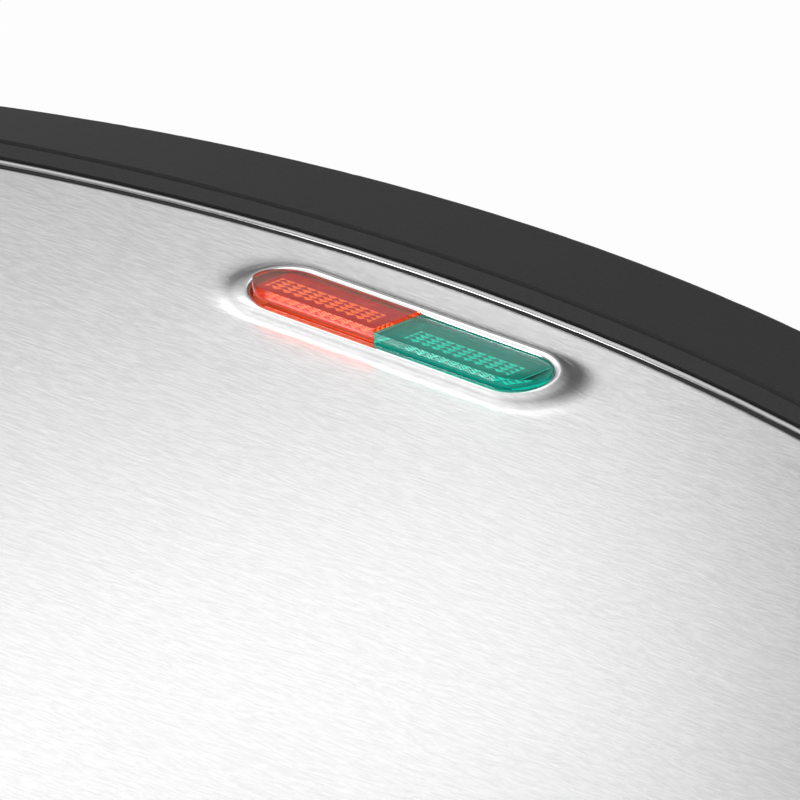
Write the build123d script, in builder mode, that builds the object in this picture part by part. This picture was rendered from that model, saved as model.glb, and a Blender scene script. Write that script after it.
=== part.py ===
from build123d import *
import math
import os

os.makedirs("parts", exist_ok=True)

# Sandwich maker, closed, standing on its feet. +X is right, +Y is towards the hinge, +Z is up.
# The origin is on the table under the middle of the closed machine's bounding box.
# All sizes are millimetres.

# Plan outline of the two housings where they meet
body_width = 240.0
body_depth = 215.0
body_end_radius = 184.0
body_side_radius = 400.0
body_corner_radius = 40.0
wall = 2.5

# Levels of the base
foot_height = 4.0
floor_thickness = 2.5
base_rim_level = 45.5
base_taper = 4.0
base_edge_radius = 5.0

# Levels of the lid
parting_gap = 1.0
shoulder_level = 83.5
lid_taper = 1.5
shoulder_edge_radius = 1.6
shoulder_rise = 4.65
level_band = 0.05

# Brushed steel skin of the lid: a raised panel inside a stepped flange
shoulder_end_band = 15.5
shoulder_side_band = 22.75
skin_width = body_width - 2 * shoulder_end_band
skin_depth = body_depth - 2 * shoulder_side_band
skin_end_radius = 215.0
skin_side_radius = 500.0
skin_corner_radius = 30.0
skin_crown_radius = 8000.0
skin_thickness = 0.6
skin_step = 0.7
skin_edge_below_bezel = 0.35
skin_flange_width = 2.4

# Bright trim ring between the skin's step and the bezel
trim_inner_reach = 0.45
trim_outer_reach = 1.25
trim_above_skin = 0.15
trim_edge_radius = 0.3

# Bezel ring round the skin, and the groove round the bezel
bezel_inner_reach = 1.3
bezel_outer_reach = 4.05
bezel_skirt = 1.5
bezel_skirt_depth = 2.5
groove_chamfer = 0.35
groove_gap = 0.1
groove_depth = 2.0
ledge_inner_reach = 6.0
ledge_thickness = 2.5
ledge_post_root = 1.0
prong_width = 6.0
prong_thickness = 1.2
prong_below_ledge = 1.2
prong_root_overlap = 0.5
prong_slot_play = 0.4
prong_angles = (-19.0, -8.0, 8.0, 19.0)

# Signal window near the hinge side of the skin
window_length = 34.0
window_width = 7.6
window_from_skin_edge = 11.05
boss_height = 0.8
boss_rim = 1.05
boss_flank = 2.9
boss_hollow_inset = 0.4
lens_length_gap = 0.8
lens_width_gap = 0.3
lens_joint = 0.1
lens_flange_length = 35.8
lens_flange_width = 9.5
lens_flange = 1.0
lens_below_skin = 0.1
red_lens_proud = 1.45
green_lens_proud = 1.05
lens_edge_radius = 0.45
lens_end_chamfer = 0.8

# Lamp housing under the lenses
lamp_housing_length = 39.0
lamp_chamber_length = 14.5
lamp_chamber_width = 7.0
lamp_chamber_depth = 7.4
lamp_chamber_wall = 1.2
lamp_floor = 1.4
lamp_radius = 2.5
lamp_length = 10.0
lamp_end_radius = 1.2
lamp_shelf = 2.5
lamp_shelf_half_width = 24.0
lamp_shelf_lip = 1.0
lamp_housing_play = 0.4
lamp_screw_inset = 2.0
lamp_screw_bite = 5.5

# Cooking plates, the same above and below
plate_end_margin = 16.0
plate_side_margin = 45.5
plate_length = body_width - 2 * plate_end_margin
plate_width = body_depth - 2 * plate_side_margin
plate_corner_radius = 15.0
plate_flange = 2.0
plate_flange_reach = 4.0
plate_gap = 0.3
pocket_depth = 12.0
pocket_floor = 2.5
pocket_margin = 6.0
pocket_ridge = 8.0
pocket_draft = 3.0
pocket_corner_radius = 8.0
plate_boss_radius = 4.5
plate_boss_height = 8.4
plate_boss_inset = 16.0

# Surround decks that carry the plates
deck_thickness = 2.5
deck_fit = 0.8
deck_opening_gap = 1.0
deck_skirt_depth = 3.3
deck_boss_radius = 4.5
deck_boss_end = 1.0
post_x = 62.0
post_from_rear = 27.5
post_y = body_depth / 2 - post_from_rear
post_radius = 6.0
post_top_level = 30.0
post_web = 8.0

# Heating elements and reflector pans
element_radius = 3.25
element_seat_gap = 0.1
element_inset = 29.0
element_half_length = plate_length / 2 - element_inset
element_half_width = plate_width / 2 - element_inset
element_bend = 20.0
element_end_x = 12.0
element_end_reach = 4.0
element_end_y = plate_width / 2 + element_end_reach
cold_pin_radius = 1.2
cold_pin_length = 8.0
pan_sheet = 0.6
pan_wall_reach = 3.0
pan_flange_reach = 5.0
boot_radius = 3.4
boot_length = 11.0
boot_gap = 1.0
boot_end_wall = 3.9
lead_radius = 1.1
lead_bend = 6.0
lead_gap = 0.05
crossing_lead_x = 1.6
crossing_lead_run = 4.0
upper_lead_run = 3.5

# Screws
surround_screw_radius = 1.75
surround_screw_head = 3.5
surround_screw_head_height = 2.2
base_screw_bite = 9.0
lid_screw_length = 21.0
lid_screw_sink = 2.4
lid_screw_pilot = 11.0
plate_screw_radius = 1.5
plate_screw_head = 3.0
plate_screw_head_height = 1.8
lamp_screw_radius = 1.0
lamp_screw_head = 2.0
lamp_screw_head_height = 1.4
slot_depth_share = 0.6
slot_length_share = 1.2
slot_width_share = 0.3
screw_clearance = 0.1
screw_hole_clearance = 0.25
seat_gap = 0.1

# Rubber feet
foot_from_end = 36.0
foot_from_side = 55.5
foot_x = body_width / 2 - foot_from_end
foot_y = body_depth / 2 - foot_from_side
foot_radius = 9.0
foot_draft = 1.0
foot_stem_radius = 3.0
foot_barb_radius = 4.2
foot_barb_height = 1.5

# Floor vents
vent_length = 40.0
vent_width = 3.0
vent_pitch = 8.0
vent_count = 5
vent_x = 42.0

# Hinge
hinge_from_rear = 0.5
hinge_back = body_depth / 2 - hinge_from_rear
hinge_level = 52.0
hinge_x = 66.0
hinge_barrel_radius = 5.5
hinge_pin_radius = 2.0
hinge_pin_tail = 1.0
hinge_pin_head = 3.4
hinge_pin_head_height = 1.5
lid_knuckle_width = 11.4
lid_knuckle_chin = 1.0
base_knuckle_width = 6.0
base_knuckle_top = 1.5
base_knuckle_chin = 6.0
base_knuckle_web = 24.0
knuckle_gap = 0.3
pin_fit = 0.02
running_clearance = 0.05

# Handles
handle_reach = 34.0
handle_root_depth = 20.0
handle_root_half = 50.0
handle_front_half = 41.0
handle_bow = 3.0
handle_corner_radius = 14.0
handle_height = 13.5
handle_edge_radius = 4.0
handle_wall = 2.5
handle_root_wall = 5.0
handle_screw_x = 32.0
handle_screw_drop = 9.2
handle_pad_radius = 4.0
handle_pad_reach = 7.5
handle_screw_length = 15.0
handle_pilot_end = 1.0

# Latch, hung on the upper handle
latch_width = 26.0
latch_side_gap = 0.8
latch_setback = 5.0
latch_face_step = 0.5
latch_pivot_height = 7.5
latch_barrel_radius = 4.0
latch_barrel_room = 2.0
latch_arm = 3.0
latch_hook = 2.4
latch_hook_clearance = 1.0
latch_hook_reach = 4.8
latch_lip = 3.5
latch_swing = 22.0
latch_pin_radius = 1.5
latch_pin_end_gap = 0.2
latch_ear = 3.7

# Cord entry and the flexible sleeve that crosses the hinge
gland_level = 17.0
gland_bore_radius = 3.6
gland_body_radius = 6.0
gland_flange_radius = 8.0
gland_flange = 2.0
gland_length = 13.0
gland_edge_radius = 0.8
gland_nut_radius = 9.0
gland_nut_height = 4.0
sleeve_radius = 3.0
sleeve_base_level = 33.0
sleeve_lid_level = 60.0
sleeve_bend = 11.5
sleeve_reach = 13.5
sleeve_tail = 11.5
sleeve_back = body_depth / 2 + sleeve_reach
sleeve_inner_end = body_depth / 2 - sleeve_tail
grommet_flange_radius = 5.5
grommet_flange = 1.2
grommet_body_radius = 4.2
grommet_tail = 1.0

# Electrical pieces
block_half_width = 17.0
block_from_rear = 15.5
block_depth = 16.0
block_back = body_depth / 2 - block_from_rear
block_front = block_back - block_depth
block_height = 10.0
block_step = 3.0
block_step_end = 2.0
block_lead_inset = 6.0
thermostat_radius = 8.0
thermostat_height = 9.0
thermostat_flange = 0.8
thermostat_flange_reach = 1.5
thermostat_x = 34.0
thermostat_y = 18.0
blade_pitch = 9.0
blade_thickness = 0.8
blade_width = 6.3
blade_height = 3.0
fuse_radius = 2.0
fuse_length = 12.0
fuse_wire_radius = 0.5
fuse_wire_reach = 5.0
fuse_seat = 0.05
fuse_x = -40.0
fuse_y = 20.0
strap_width = 6.0
strap_length = 16.0
strap_sheet = 0.8
strap_saddle_length = 7.0
strap_fit = 0.1

# Levels that follow from the sizes above
parting_level = base_rim_level + parting_gap / 2
lid_rim_level = base_rim_level + parting_gap
base_bottom_level = foot_height
floor_top = base_bottom_level + floor_thickness
bezel_top = shoulder_level + shoulder_rise
skin_edge_level = bezel_top - skin_edge_below_bezel
flange_top = skin_edge_level - skin_step
flange_bottom = flange_top - skin_thickness
groove_floor = flange_bottom - groove_depth
ledge_bottom = groove_floor - ledge_thickness
crown_top = skin_edge_level + (skin_depth / 2) ** 2 / (2 * skin_crown_radius)
lower_plate_top = parting_level - plate_gap / 2
deck_top = lower_plate_top - plate_flange
deck_bottom = deck_top - deck_thickness
plate_bottom = lower_plate_top - pocket_depth - pocket_floor
pan_floor_top = plate_bottom - plate_boss_height
pan_floor_bottom = pan_floor_top - pan_sheet
element_level = plate_bottom - element_radius - element_seat_gap

# The closed machine reaches from the hanging latch to the sleeve behind the hinge
latch_drop = latch_pivot_height + parting_gap + handle_height + latch_hook_clearance + latch_hook
latch_front_reach = handle_reach - latch_setback
latch_front_reach += (latch_setback - latch_face_step) * math.cos(math.radians(latch_swing))
latch_front_reach += latch_drop * math.sin(math.radians(latch_swing))
latch_front_reach += latch_lip * math.cos(math.radians(latch_swing))
sleeve_back_reach = sleeve_back + sleeve_radius - body_depth / 2
body_y = (latch_front_reach - sleeve_back_reach) / 2

body_shape = (body_width, body_depth, body_end_radius, body_side_radius, body_corner_radius)
skin_shape = (skin_width, skin_depth, skin_end_radius, skin_side_radius, skin_corner_radius)

parting_plane = Plane((0, 0, parting_level))
up = (Align.CENTER, Align.CENTER, Align.MIN)
down = (Align.CENTER, Align.CENTER, Align.MAX)


def plan_plane(level):
    """Horizontal plane at one level, with its origin over the middle of the body."""
    return Plane((0, body_y, level))


def side_plane(x):
    """Upright plane at one X. Its local X runs to the rear and its local Y runs up."""
    return Plane(origin=(x, body_y, 0), x_dir=(0, 1, 0), z_dir=(1, 0, 0))


def bowed_corner(half_x, half_y, end_radius, side_radius):
    """Point where the bowed end arc meets the bowed side arc, right and rear."""
    end_centre = half_y - end_radius
    side_centre = half_x - side_radius
    span = math.hypot(side_centre, end_centre)
    along = (end_radius**2 - side_radius**2 + span**2) / (2 * span)
    across = math.sqrt(end_radius**2 - along**2)
    to_side_x = side_centre / span
    to_side_y = -end_centre / span
    corner_x = to_side_x * along + to_side_y * across
    corner_y = end_centre + to_side_y * along - to_side_x * across
    return corner_x, corner_y


def outline(level, shape, inset=0.0):
    """Plan outline with four bowed edges and round corners, drawn in by inset."""
    width, depth, end_radius, side_radius, corner_radius = shape
    half_x = width / 2 - inset
    half_y = depth / 2 - inset
    corner_x, corner_y = bowed_corner(half_x, half_y, end_radius - inset, side_radius - inset)
    with BuildSketch(plan_plane(level)) as plan:
        with BuildLine():
            ThreePointArc((-corner_x, corner_y), (0, half_y), (corner_x, corner_y))
            ThreePointArc((corner_x, corner_y), (half_x, 0), (corner_x, -corner_y))
            ThreePointArc((corner_x, -corner_y), (0, -half_y), (-corner_x, -corner_y))
            ThreePointArc((-corner_x, -corner_y), (-half_x, 0), (-corner_x, corner_y))
        make_face()
        fillet(plan.vertices(), radius=corner_radius - inset)
    return plan.sketch


def base_inset(level):
    """How far the base wall has drawn in at a level below its rim."""
    return base_taper * (base_rim_level - level) / (base_rim_level - base_bottom_level)


def lid_inset(level):
    """How far the lid wall has drawn in at a level above its rim."""
    return lid_taper * (level - lid_rim_level) / (shoulder_level - lid_rim_level)


def body_back(x, inset):
    """Distance from the body's middle to its rear face at a given X."""
    radius = body_end_radius - inset
    return body_depth / 2 - body_end_radius + math.sqrt(radius**2 - x**2)


def ring(level, shape, outer_reach, inner_reach):
    """Ring between two reaches outside an outline. A negative reach lies inside it."""
    with BuildSketch(Plane.XY.offset(level)) as plan:
        add(outline(0, shape, -outer_reach))
        add(outline(0, shape, -inner_reach), mode=Mode.SUBTRACT)
    return plan.sketch


def rounded_plate(level, length, width, corner_radius):
    """Rectangle with round corners over the middle of the body."""
    with BuildSketch(plan_plane(level)) as plan:
        RectangleRounded(length, width, corner_radius)
    return plan.sketch


def obround(level, length, width):
    """Obround over the middle of the signal window."""
    with BuildSketch(plan_plane(level)) as plan:
        with Locations((0, window_y)):
            SlotOverall(length, width)
    return plan.sketch


def cross_head_screw(shank_radius, shank_length, head_radius, head_height):
    """Screw that points up, with the seat of its head at the local origin."""
    Cylinder(head_radius, head_height, align=down)
    Cylinder(shank_radius, shank_length, align=up)
    with Locations((0, 0, -head_height)):
        slot_depth = head_height * slot_depth_share
        slot_length = head_radius * slot_length_share
        slot_width = head_radius * slot_width_share
        Box(slot_length, slot_width, slot_depth, align=up, mode=Mode.SUBTRACT)
        Box(slot_width, slot_length, slot_depth, align=up, mode=Mode.SUBTRACT)


def wire(points, radius, bends):
    """Round wire along straight runs joined by tangent arcs, added to the current part."""
    with BuildLine() as route:
        FilletPolyline(*points, radius=bends)
    start = route.line @ 0
    heading = route.line % 0
    with BuildSketch(Plane(origin=start, z_dir=heading)) as section:
        Circle(radius)
    sweep(section.sketch, path=route.line)


window_y = skin_depth / 2 - window_from_skin_edge
window_level = crown_top - window_y**2 / (2 * skin_crown_radius)
boss_top = window_level + boss_height
lens_flange_top = window_level - lens_below_skin
lens_flange_bottom = lens_flange_top - lens_flange
shelf_top = lens_flange_bottom - lamp_chamber_depth - lamp_floor
post_points = [(x, y) for x in (-post_x, post_x) for y in (-post_y, post_y)]
foot_points = [(x, y) for x in (-foot_x, foot_x) for y in (-foot_y, foot_y)]
plate_boss_x = plate_length / 2 - plate_boss_inset
plate_boss_y = plate_width / 2 - plate_boss_inset
plate_boss_points = [(plate_boss_x, 0), (-plate_boss_x, 0), (0, plate_boss_y), (0, -plate_boss_y)]
skirt_inner_reach = bezel_outer_reach - bezel_skirt
skirt_length = plate_length - 2 * plate_flange_reach
skirt_width = plate_width - 2 * plate_flange_reach
skirt_corner = plate_corner_radius - plate_flange_reach
lid_knuckle_half = lid_knuckle_width / 2
base_knuckle_inner = lid_knuckle_half + knuckle_gap
base_knuckle_centre = base_knuckle_inner + base_knuckle_width / 2
knuckle_span = 2 * (base_knuckle_inner + base_knuckle_width + knuckle_gap)

# Base housing: tapered bowl with hinge knuckles, posts and vents
with BuildPart() as base_housing:
    base_sections = [
        outline(base_bottom_level, body_shape, base_taper),
        outline(base_rim_level, body_shape),
    ]
    loft(base_sections, ruled=True)
    fillet(base_housing.faces().sort_by(Axis.Z)[0].edges(), base_edge_radius)
    for side in (-1, 1):
        for offset_x in (-base_knuckle_centre, base_knuckle_centre):
            knuckle_x = side * hinge_x + offset_x - base_knuckle_width / 2
            wall_y = body_back(abs(side * hinge_x + offset_x) + base_knuckle_width / 2, base_taper)
            with BuildSketch(side_plane(knuckle_x)) as knuckle:
                with BuildLine():
                    Polyline(
                        (wall_y - wall, base_rim_level - base_knuckle_top),
                        (hinge_back - hinge_barrel_radius, base_rim_level - base_knuckle_top),
                        (hinge_back - hinge_barrel_radius, hinge_level),
                        (hinge_back + hinge_barrel_radius, hinge_level),
                        (hinge_back + hinge_barrel_radius, base_rim_level - base_knuckle_chin),
                        (wall_y - wall, base_rim_level - base_knuckle_web),
                        close=True,
                    )
                make_face()
                with Locations((hinge_back, hinge_level)):
                    Circle(hinge_barrel_radius)
            extrude(knuckle.sketch, amount=base_knuckle_width)
    inner_sections = [
        outline(floor_top, body_shape, base_inset(floor_top) + wall),
        outline(base_rim_level, body_shape, wall),
    ]
    loft(inner_sections, ruled=True, mode=Mode.SUBTRACT)
    with Locations(plan_plane(base_bottom_level)):
        with Locations(*post_points):
            post_height = post_top_level - base_bottom_level
            Cylinder(post_radius, post_height, align=up)
            Cylinder(
                surround_screw_head + 2 * screw_hole_clearance,
                post_height - post_web,
                align=up,
                mode=Mode.SUBTRACT,
            )
            Cylinder(
                surround_screw_radius + screw_hole_clearance, post_height, align=up, mode=Mode.SUBTRACT
            )
        with Locations(*foot_points):
            Cylinder(foot_stem_radius + screw_clearance, floor_thickness, align=up, mode=Mode.SUBTRACT)
        with Locations((-vent_x, 0), (vent_x, 0)):
            with GridLocations(vent_length, vent_pitch, 1, vent_count):
                Box(vent_length, vent_width, floor_thickness, align=up, mode=Mode.SUBTRACT)
    # pads inside the front wall for the handle screws
    handle_screw_low = base_rim_level - handle_screw_drop
    handle_screw_seat = body_depth / 2 - handle_pad_reach
    for pad_x in (-handle_screw_x, handle_screw_x):
        pad_depth = body_back(handle_screw_x + handle_pad_radius, base_taper / 2) - handle_screw_seat
        seat = Location((pad_x, body_y - handle_screw_seat, handle_screw_low), (90, 0, 0))
        with Locations(seat):
            Cylinder(handle_pad_radius, pad_depth, align=up)
            Cylinder(
                plate_screw_radius + screw_hole_clearance, 2 * pad_depth + wall, align=up, mode=Mode.SUBTRACT
            )
    # holes for the hinge pins, the cord gland and the crossing sleeve
    for side in (-1, 1):
        with Locations(Location((side * hinge_x, body_y + hinge_back, hinge_level), (0, 90, 0))):
            Cylinder(hinge_pin_radius + pin_fit, knuckle_span, mode=Mode.SUBTRACT)
    rear_of_body = body_y + body_depth / 2
    rear_hole_depth = 2 * (base_taper + 2 * wall)
    with Locations(Location((0, rear_of_body, gland_level), (90, 0, 0))):
        Cylinder(gland_body_radius + screw_clearance, rear_hole_depth, mode=Mode.SUBTRACT)
    with Locations(Location((0, rear_of_body, sleeve_base_level), (90, 0, 0))):
        Cylinder(grommet_body_radius + screw_clearance, rear_hole_depth, mode=Mode.SUBTRACT)
base_housing.part.label = "base_housing"
export_step(base_housing.part, "parts/base_housing.step")

# Lower surround: the deck that carries the lower plate, with four screw bosses
deck_inset = wall + deck_fit
with BuildPart() as lower_surround:
    extrude(outline(deck_top - deck_skirt_depth, body_shape, deck_inset), amount=deck_skirt_depth)
    extrude(
        outline(deck_top - deck_skirt_depth, body_shape, deck_inset + wall),
        amount=deck_skirt_depth - deck_thickness,
        mode=Mode.SUBTRACT,
    )
    extrude(
        rounded_plate(
            deck_bottom,
            skirt_length + 2 * deck_opening_gap,
            skirt_width + 2 * deck_opening_gap,
            skirt_corner + deck_opening_gap,
        ),
        amount=deck_thickness,
        mode=Mode.SUBTRACT,
    )
    with Locations(plan_plane(post_top_level)):
        with Locations(*post_points):
            boss_reach = deck_bottom - post_top_level
            Cylinder(deck_boss_radius, boss_reach, align=up)
            pilot_depth = boss_reach - deck_boss_end
            Cylinder(surround_screw_radius + screw_clearance, pilot_depth, align=up, mode=Mode.SUBTRACT)
lower_surround.part.label = "lower_surround"
export_step(lower_surround.part, "parts/lower_surround.step")


def pocket(level, side, outer, inset):
    """One triangular pocket outline. side is left or right, outer picks the outer triangle."""
    inner_x = pocket_ridge / 2
    outer_x = skirt_length / 2 - pocket_margin + plate_flange_reach
    end_y = skirt_width / 2 - pocket_margin + plate_flange_reach
    run_x = outer_x - inner_x
    run_y = 2 * end_y
    slant = math.hypot(run_x, run_y)
    cut_x = pocket_ridge / 2 * slant / run_y
    cut_y = pocket_ridge / 2 * slant / run_x
    if outer:
        corners = [(outer_x, end_y), (outer_x, -end_y + cut_y), (inner_x + cut_x, end_y)]
    else:
        corners = [(inner_x, -end_y), (outer_x - cut_x, -end_y), (inner_x, end_y - cut_y)]
    with BuildSketch(plan_plane(level)) as plan:
        with BuildLine():
            Polyline(*[(side * x, y) for x, y in corners], close=True)
        make_face()
        fillet(plan.vertices(), radius=pocket_corner_radius)
        if inset > 0:
            offset(amount=-inset, mode=Mode.REPLACE)
    return plan.sketch


# Lower plate: one casting with four triangular pockets, flange, skirt and screw bosses
with BuildPart() as lower_plate:
    extrude(rounded_plate(deck_top, plate_length, plate_width, plate_corner_radius), amount=plate_flange)
    extrude(
        rounded_plate(plate_bottom, skirt_length, skirt_width, skirt_corner),
        amount=deck_top - plate_bottom,
    )
    for side in (-1, 1):
        for outer in (False, True):
            pocket_sections = [
                pocket(lower_plate_top - pocket_depth, side, outer, pocket_draft),
                pocket(lower_plate_top, side, outer, 0.0),
            ]
            loft(pocket_sections, ruled=True, mode=Mode.SUBTRACT)
    with Locations(plan_plane(pan_floor_top)):
        with Locations(*plate_boss_points):
            Cylinder(plate_boss_radius, plate_boss_height, align=up)
            Cylinder(plate_screw_radius + screw_clearance, plate_boss_height, align=up, mode=Mode.SUBTRACT)
lower_plate.part.label = "lower_plate"
export_step(lower_plate.part, "parts/lower_plate.step")

# Lower element: one bent tube whose two ends leave at the rear, with thin cold pins
with BuildPart() as lower_element:
    element_points = [
        (element_end_x, body_y + element_end_y, element_level),
        (element_end_x, body_y + element_half_width, element_level),
        (element_half_length, body_y + element_half_width, element_level),
        (element_half_length, body_y - element_half_width, element_level),
        (-element_half_length, body_y - element_half_width, element_level),
        (-element_half_length, body_y + element_half_width, element_level),
        (-element_end_x, body_y + element_half_width, element_level),
        (-element_end_x, body_y + element_end_y, element_level),
    ]
    wire(element_points, element_radius, element_bend)
    for side in (-1, 1):
        pin_start = Location((side * element_end_x, body_y + element_end_y, element_level), (-90, 0, 0))
        with Locations(pin_start):
            Cylinder(cold_pin_radius, cold_pin_length, align=up)
lower_element.part.label = "lower_element"
export_step(lower_element.part, "parts/lower_element.step")

# Lower reflector: thin pan under the element, clamped against the underside of the deck
pan_length = skirt_length + 2 * pan_wall_reach
pan_width = skirt_width + 2 * pan_wall_reach
pan_corner = skirt_corner + pan_wall_reach
with BuildPart() as lower_reflector:
    extrude(
        rounded_plate(
            deck_bottom - pan_sheet,
            pan_length + 2 * pan_flange_reach,
            pan_width + 2 * pan_flange_reach,
            pan_corner + pan_flange_reach,
        ),
        amount=pan_sheet,
    )
    extrude(
        rounded_plate(pan_floor_bottom, pan_length, pan_width, pan_corner),
        amount=deck_bottom - pan_floor_bottom,
    )
    extrude(
        rounded_plate(
            pan_floor_top,
            pan_length - 2 * pan_sheet,
            pan_width - 2 * pan_sheet,
            pan_corner - pan_sheet,
        ),
        amount=deck_bottom - pan_floor_top,
        mode=Mode.SUBTRACT,
    )
    with Locations(plan_plane(pan_floor_bottom)):
        with Locations(*plate_boss_points):
            Cylinder(
                plate_screw_radius + screw_hole_clearance, pan_sheet, align=up, mode=Mode.SUBTRACT
            )
    for side in (-1, 1):
        end_hole = Location((side * element_end_x, body_y + pan_width / 2, element_level), (90, 0, 0))
        with Locations(end_hole):
            Cylinder(element_radius + screw_hole_clearance, 6 * pan_sheet, mode=Mode.SUBTRACT)
lower_reflector.part.label = "lower_reflector"
export_step(lower_reflector.part, "parts/lower_reflector.step")

# Lower plate screws, through the pan into the plate's bosses
with BuildPart() as lower_plate_screws:
    with Locations(plan_plane(pan_floor_bottom)):
        with Locations(*plate_boss_points):
            cross_head_screw(
                plate_screw_radius, plate_boss_height, plate_screw_head, plate_screw_head_height
            )
lower_plate_screws.part.label = "lower_plate_screws"
export_step(lower_plate_screws.part, "parts/lower_plate_screws.step")

# Insulating boots over the lower element's cold pins
boot_front = element_end_y + boot_gap
boot_back = boot_front + boot_length
boot_bore_length = boot_length - boot_end_wall
with BuildPart() as lower_terminal_boots:
    for side in (-1, 1):
        boot_start = Location((side * element_end_x, body_y + boot_front, element_level), (-90, 0, 0))
        with Locations(boot_start):
            Cylinder(boot_radius, boot_length, align=up)
            Cylinder(cold_pin_radius + screw_clearance, boot_bore_length, align=up, mode=Mode.SUBTRACT)
lower_terminal_boots.part.label = "lower_terminal_boots"
export_step(lower_terminal_boots.part, "parts/lower_terminal_boots.step")

# Rubber feet with stems that snap through the floor
with BuildPart() as rubber_feet:
    with Locations(plan_plane(0)):
        with Locations(*foot_points):
            Cone(foot_radius - foot_draft, foot_radius, foot_height, align=up)
            Cylinder(foot_stem_radius, floor_top, align=up)
            with Locations((0, 0, floor_top)):
                Cone(foot_barb_radius, foot_stem_radius, foot_barb_height, align=up)
rubber_feet.part.label = "rubber_feet"
export_step(rubber_feet.part, "parts/rubber_feet.step")

# Base screws, from below through the posts into the lower surround
with BuildPart() as base_screws:
    with Locations(plan_plane(post_top_level - post_web)):
        with Locations(*post_points):
            cross_head_screw(
                surround_screw_radius,
                post_web + base_screw_bite,
                surround_screw_head,
                surround_screw_head_height,
            )
base_screws.part.label = "base_screws"
export_step(base_screws.part, "parts/base_screws.step")

# Cord gland: a flanged bush in the rear wall with a clear bore for the mains cord
gland_wall_y = body_y + body_back(0, base_inset(gland_level + gland_flange_radius)) + seat_gap
with BuildPart() as cord_gland:
    with Locations(Location((0, gland_wall_y + gland_flange, gland_level), (90, 0, 0))):
        Cylinder(gland_flange_radius, gland_flange, align=up)
        Cylinder(gland_body_radius, gland_length, align=up)
        Cylinder(gland_bore_radius, gland_length, align=up, mode=Mode.SUBTRACT)
    gland_face = cord_gland.faces().sort_by(Axis.Y)[-1]
    fillet(gland_face.outer_wire().edges(), gland_edge_radius)
cord_gland.part.label = "cord_gland"
export_step(cord_gland.part, "parts/cord_gland.step")

# Nut that holds the cord gland from inside
with BuildPart() as gland_nut:
    nut_seat = body_back(gland_nut_radius, base_inset(gland_level - gland_nut_radius)) - wall
    with Locations(Location((0, body_y + nut_seat - seat_gap, gland_level), (90, 0, 0))):
        Cylinder(gland_nut_radius, gland_nut_height, align=up)
        Cylinder(gland_body_radius + screw_clearance, gland_nut_height, align=up, mode=Mode.SUBTRACT)
gland_nut.part.label = "gland_nut"
export_step(gland_nut.part, "parts/gland_nut.step")

# Terminal block on the floor, behind the plate
with BuildPart() as terminal_block:
    with Locations((0, body_y + (block_front + block_back) / 2, floor_top)):
        Box(2 * block_half_width, block_depth, block_height, align=up)
        with Locations((0, 0, block_height)):
            with GridLocations(0, block_depth / 2, 1, 2):
                Box(
                    2 * (block_half_width - block_step_end),
                    block_step,
                    block_step,
                    align=down,
                    mode=Mode.SUBTRACT,
                )
terminal_block.part.label = "terminal_block"
export_step(terminal_block.part, "parts/terminal_block.step")

# Leads in the base: block to element, and block to the crossing sleeve
lead_drop_y = body_y + block_back - block_lead_inset
lead_foot_level = floor_top + block_height + lead_gap
with BuildPart() as lower_leads:
    for side in (-1, 1):
        element_lead = [
            (side * element_end_x, body_y + boot_back + lead_gap, element_level),
            (side * element_end_x, lead_drop_y, element_level),
            (side * element_end_x, lead_drop_y, lead_foot_level),
        ]
        wire(element_lead, lead_radius, lead_bend)
        crossing_lead = [
            (side * crossing_lead_x, body_y + sleeve_inner_end - lead_gap, sleeve_base_level),
            (side * crossing_lead_x, lead_drop_y, sleeve_base_level),
            (side * crossing_lead_x, lead_drop_y, lead_foot_level),
        ]
        wire(crossing_lead, lead_radius, lead_bend)
lower_leads.part.label = "lower_leads"
export_step(lower_leads.part, "parts/lower_leads.step")

# Thermal fuse under the lower pan
with BuildPart() as thermal_fuse:
    fuse_centre = (fuse_x, body_y + fuse_y, pan_floor_bottom - fuse_radius - fuse_seat)
    with Locations(Location(fuse_centre, (0, 90, 0))):
        Cylinder(fuse_radius, fuse_length)
        Cylinder(fuse_wire_radius, fuse_length + 2 * fuse_wire_reach)
thermal_fuse.part.label = "thermal_fuse"
export_step(thermal_fuse.part, "parts/thermal_fuse.step")

# Strap that holds the fuse against the pan
strap_bay = 2 * fuse_radius + fuse_seat + strap_fit
with BuildPart() as fuse_strap:
    with Locations((fuse_x, body_y + fuse_y, pan_floor_bottom)):
        Box(strap_width, strap_length, strap_sheet, align=down)
        Box(strap_width, strap_saddle_length, strap_bay + strap_sheet, align=down)
        Box(strap_width, 2 * (fuse_radius + strap_fit), strap_bay, align=down, mode=Mode.SUBTRACT)
fuse_strap.part.label = "fuse_strap"
export_step(fuse_strap.part, "parts/fuse_strap.step")

# Hinge pins, fixed in the base knuckles
pin_inner = hinge_x - base_knuckle_inner - base_knuckle_width - hinge_pin_tail
pin_outer = hinge_x + base_knuckle_inner + base_knuckle_width + seat_gap
with BuildPart() as hinge_pins:
    for side in (-1, 1):
        with Locations(Location((side * pin_inner, body_y + hinge_back, hinge_level), (0, side * 90, 0))):
            Cylinder(hinge_pin_radius, pin_outer - pin_inner, align=up)
        with Locations(Location((side * pin_outer, body_y + hinge_back, hinge_level), (0, side * 90, 0))):
            Cylinder(hinge_pin_head, hinge_pin_head_height, align=up)
hinge_pins.part.label = "hinge_pins"
export_step(hinge_pins.part, "parts/hinge_pins.step")

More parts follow.
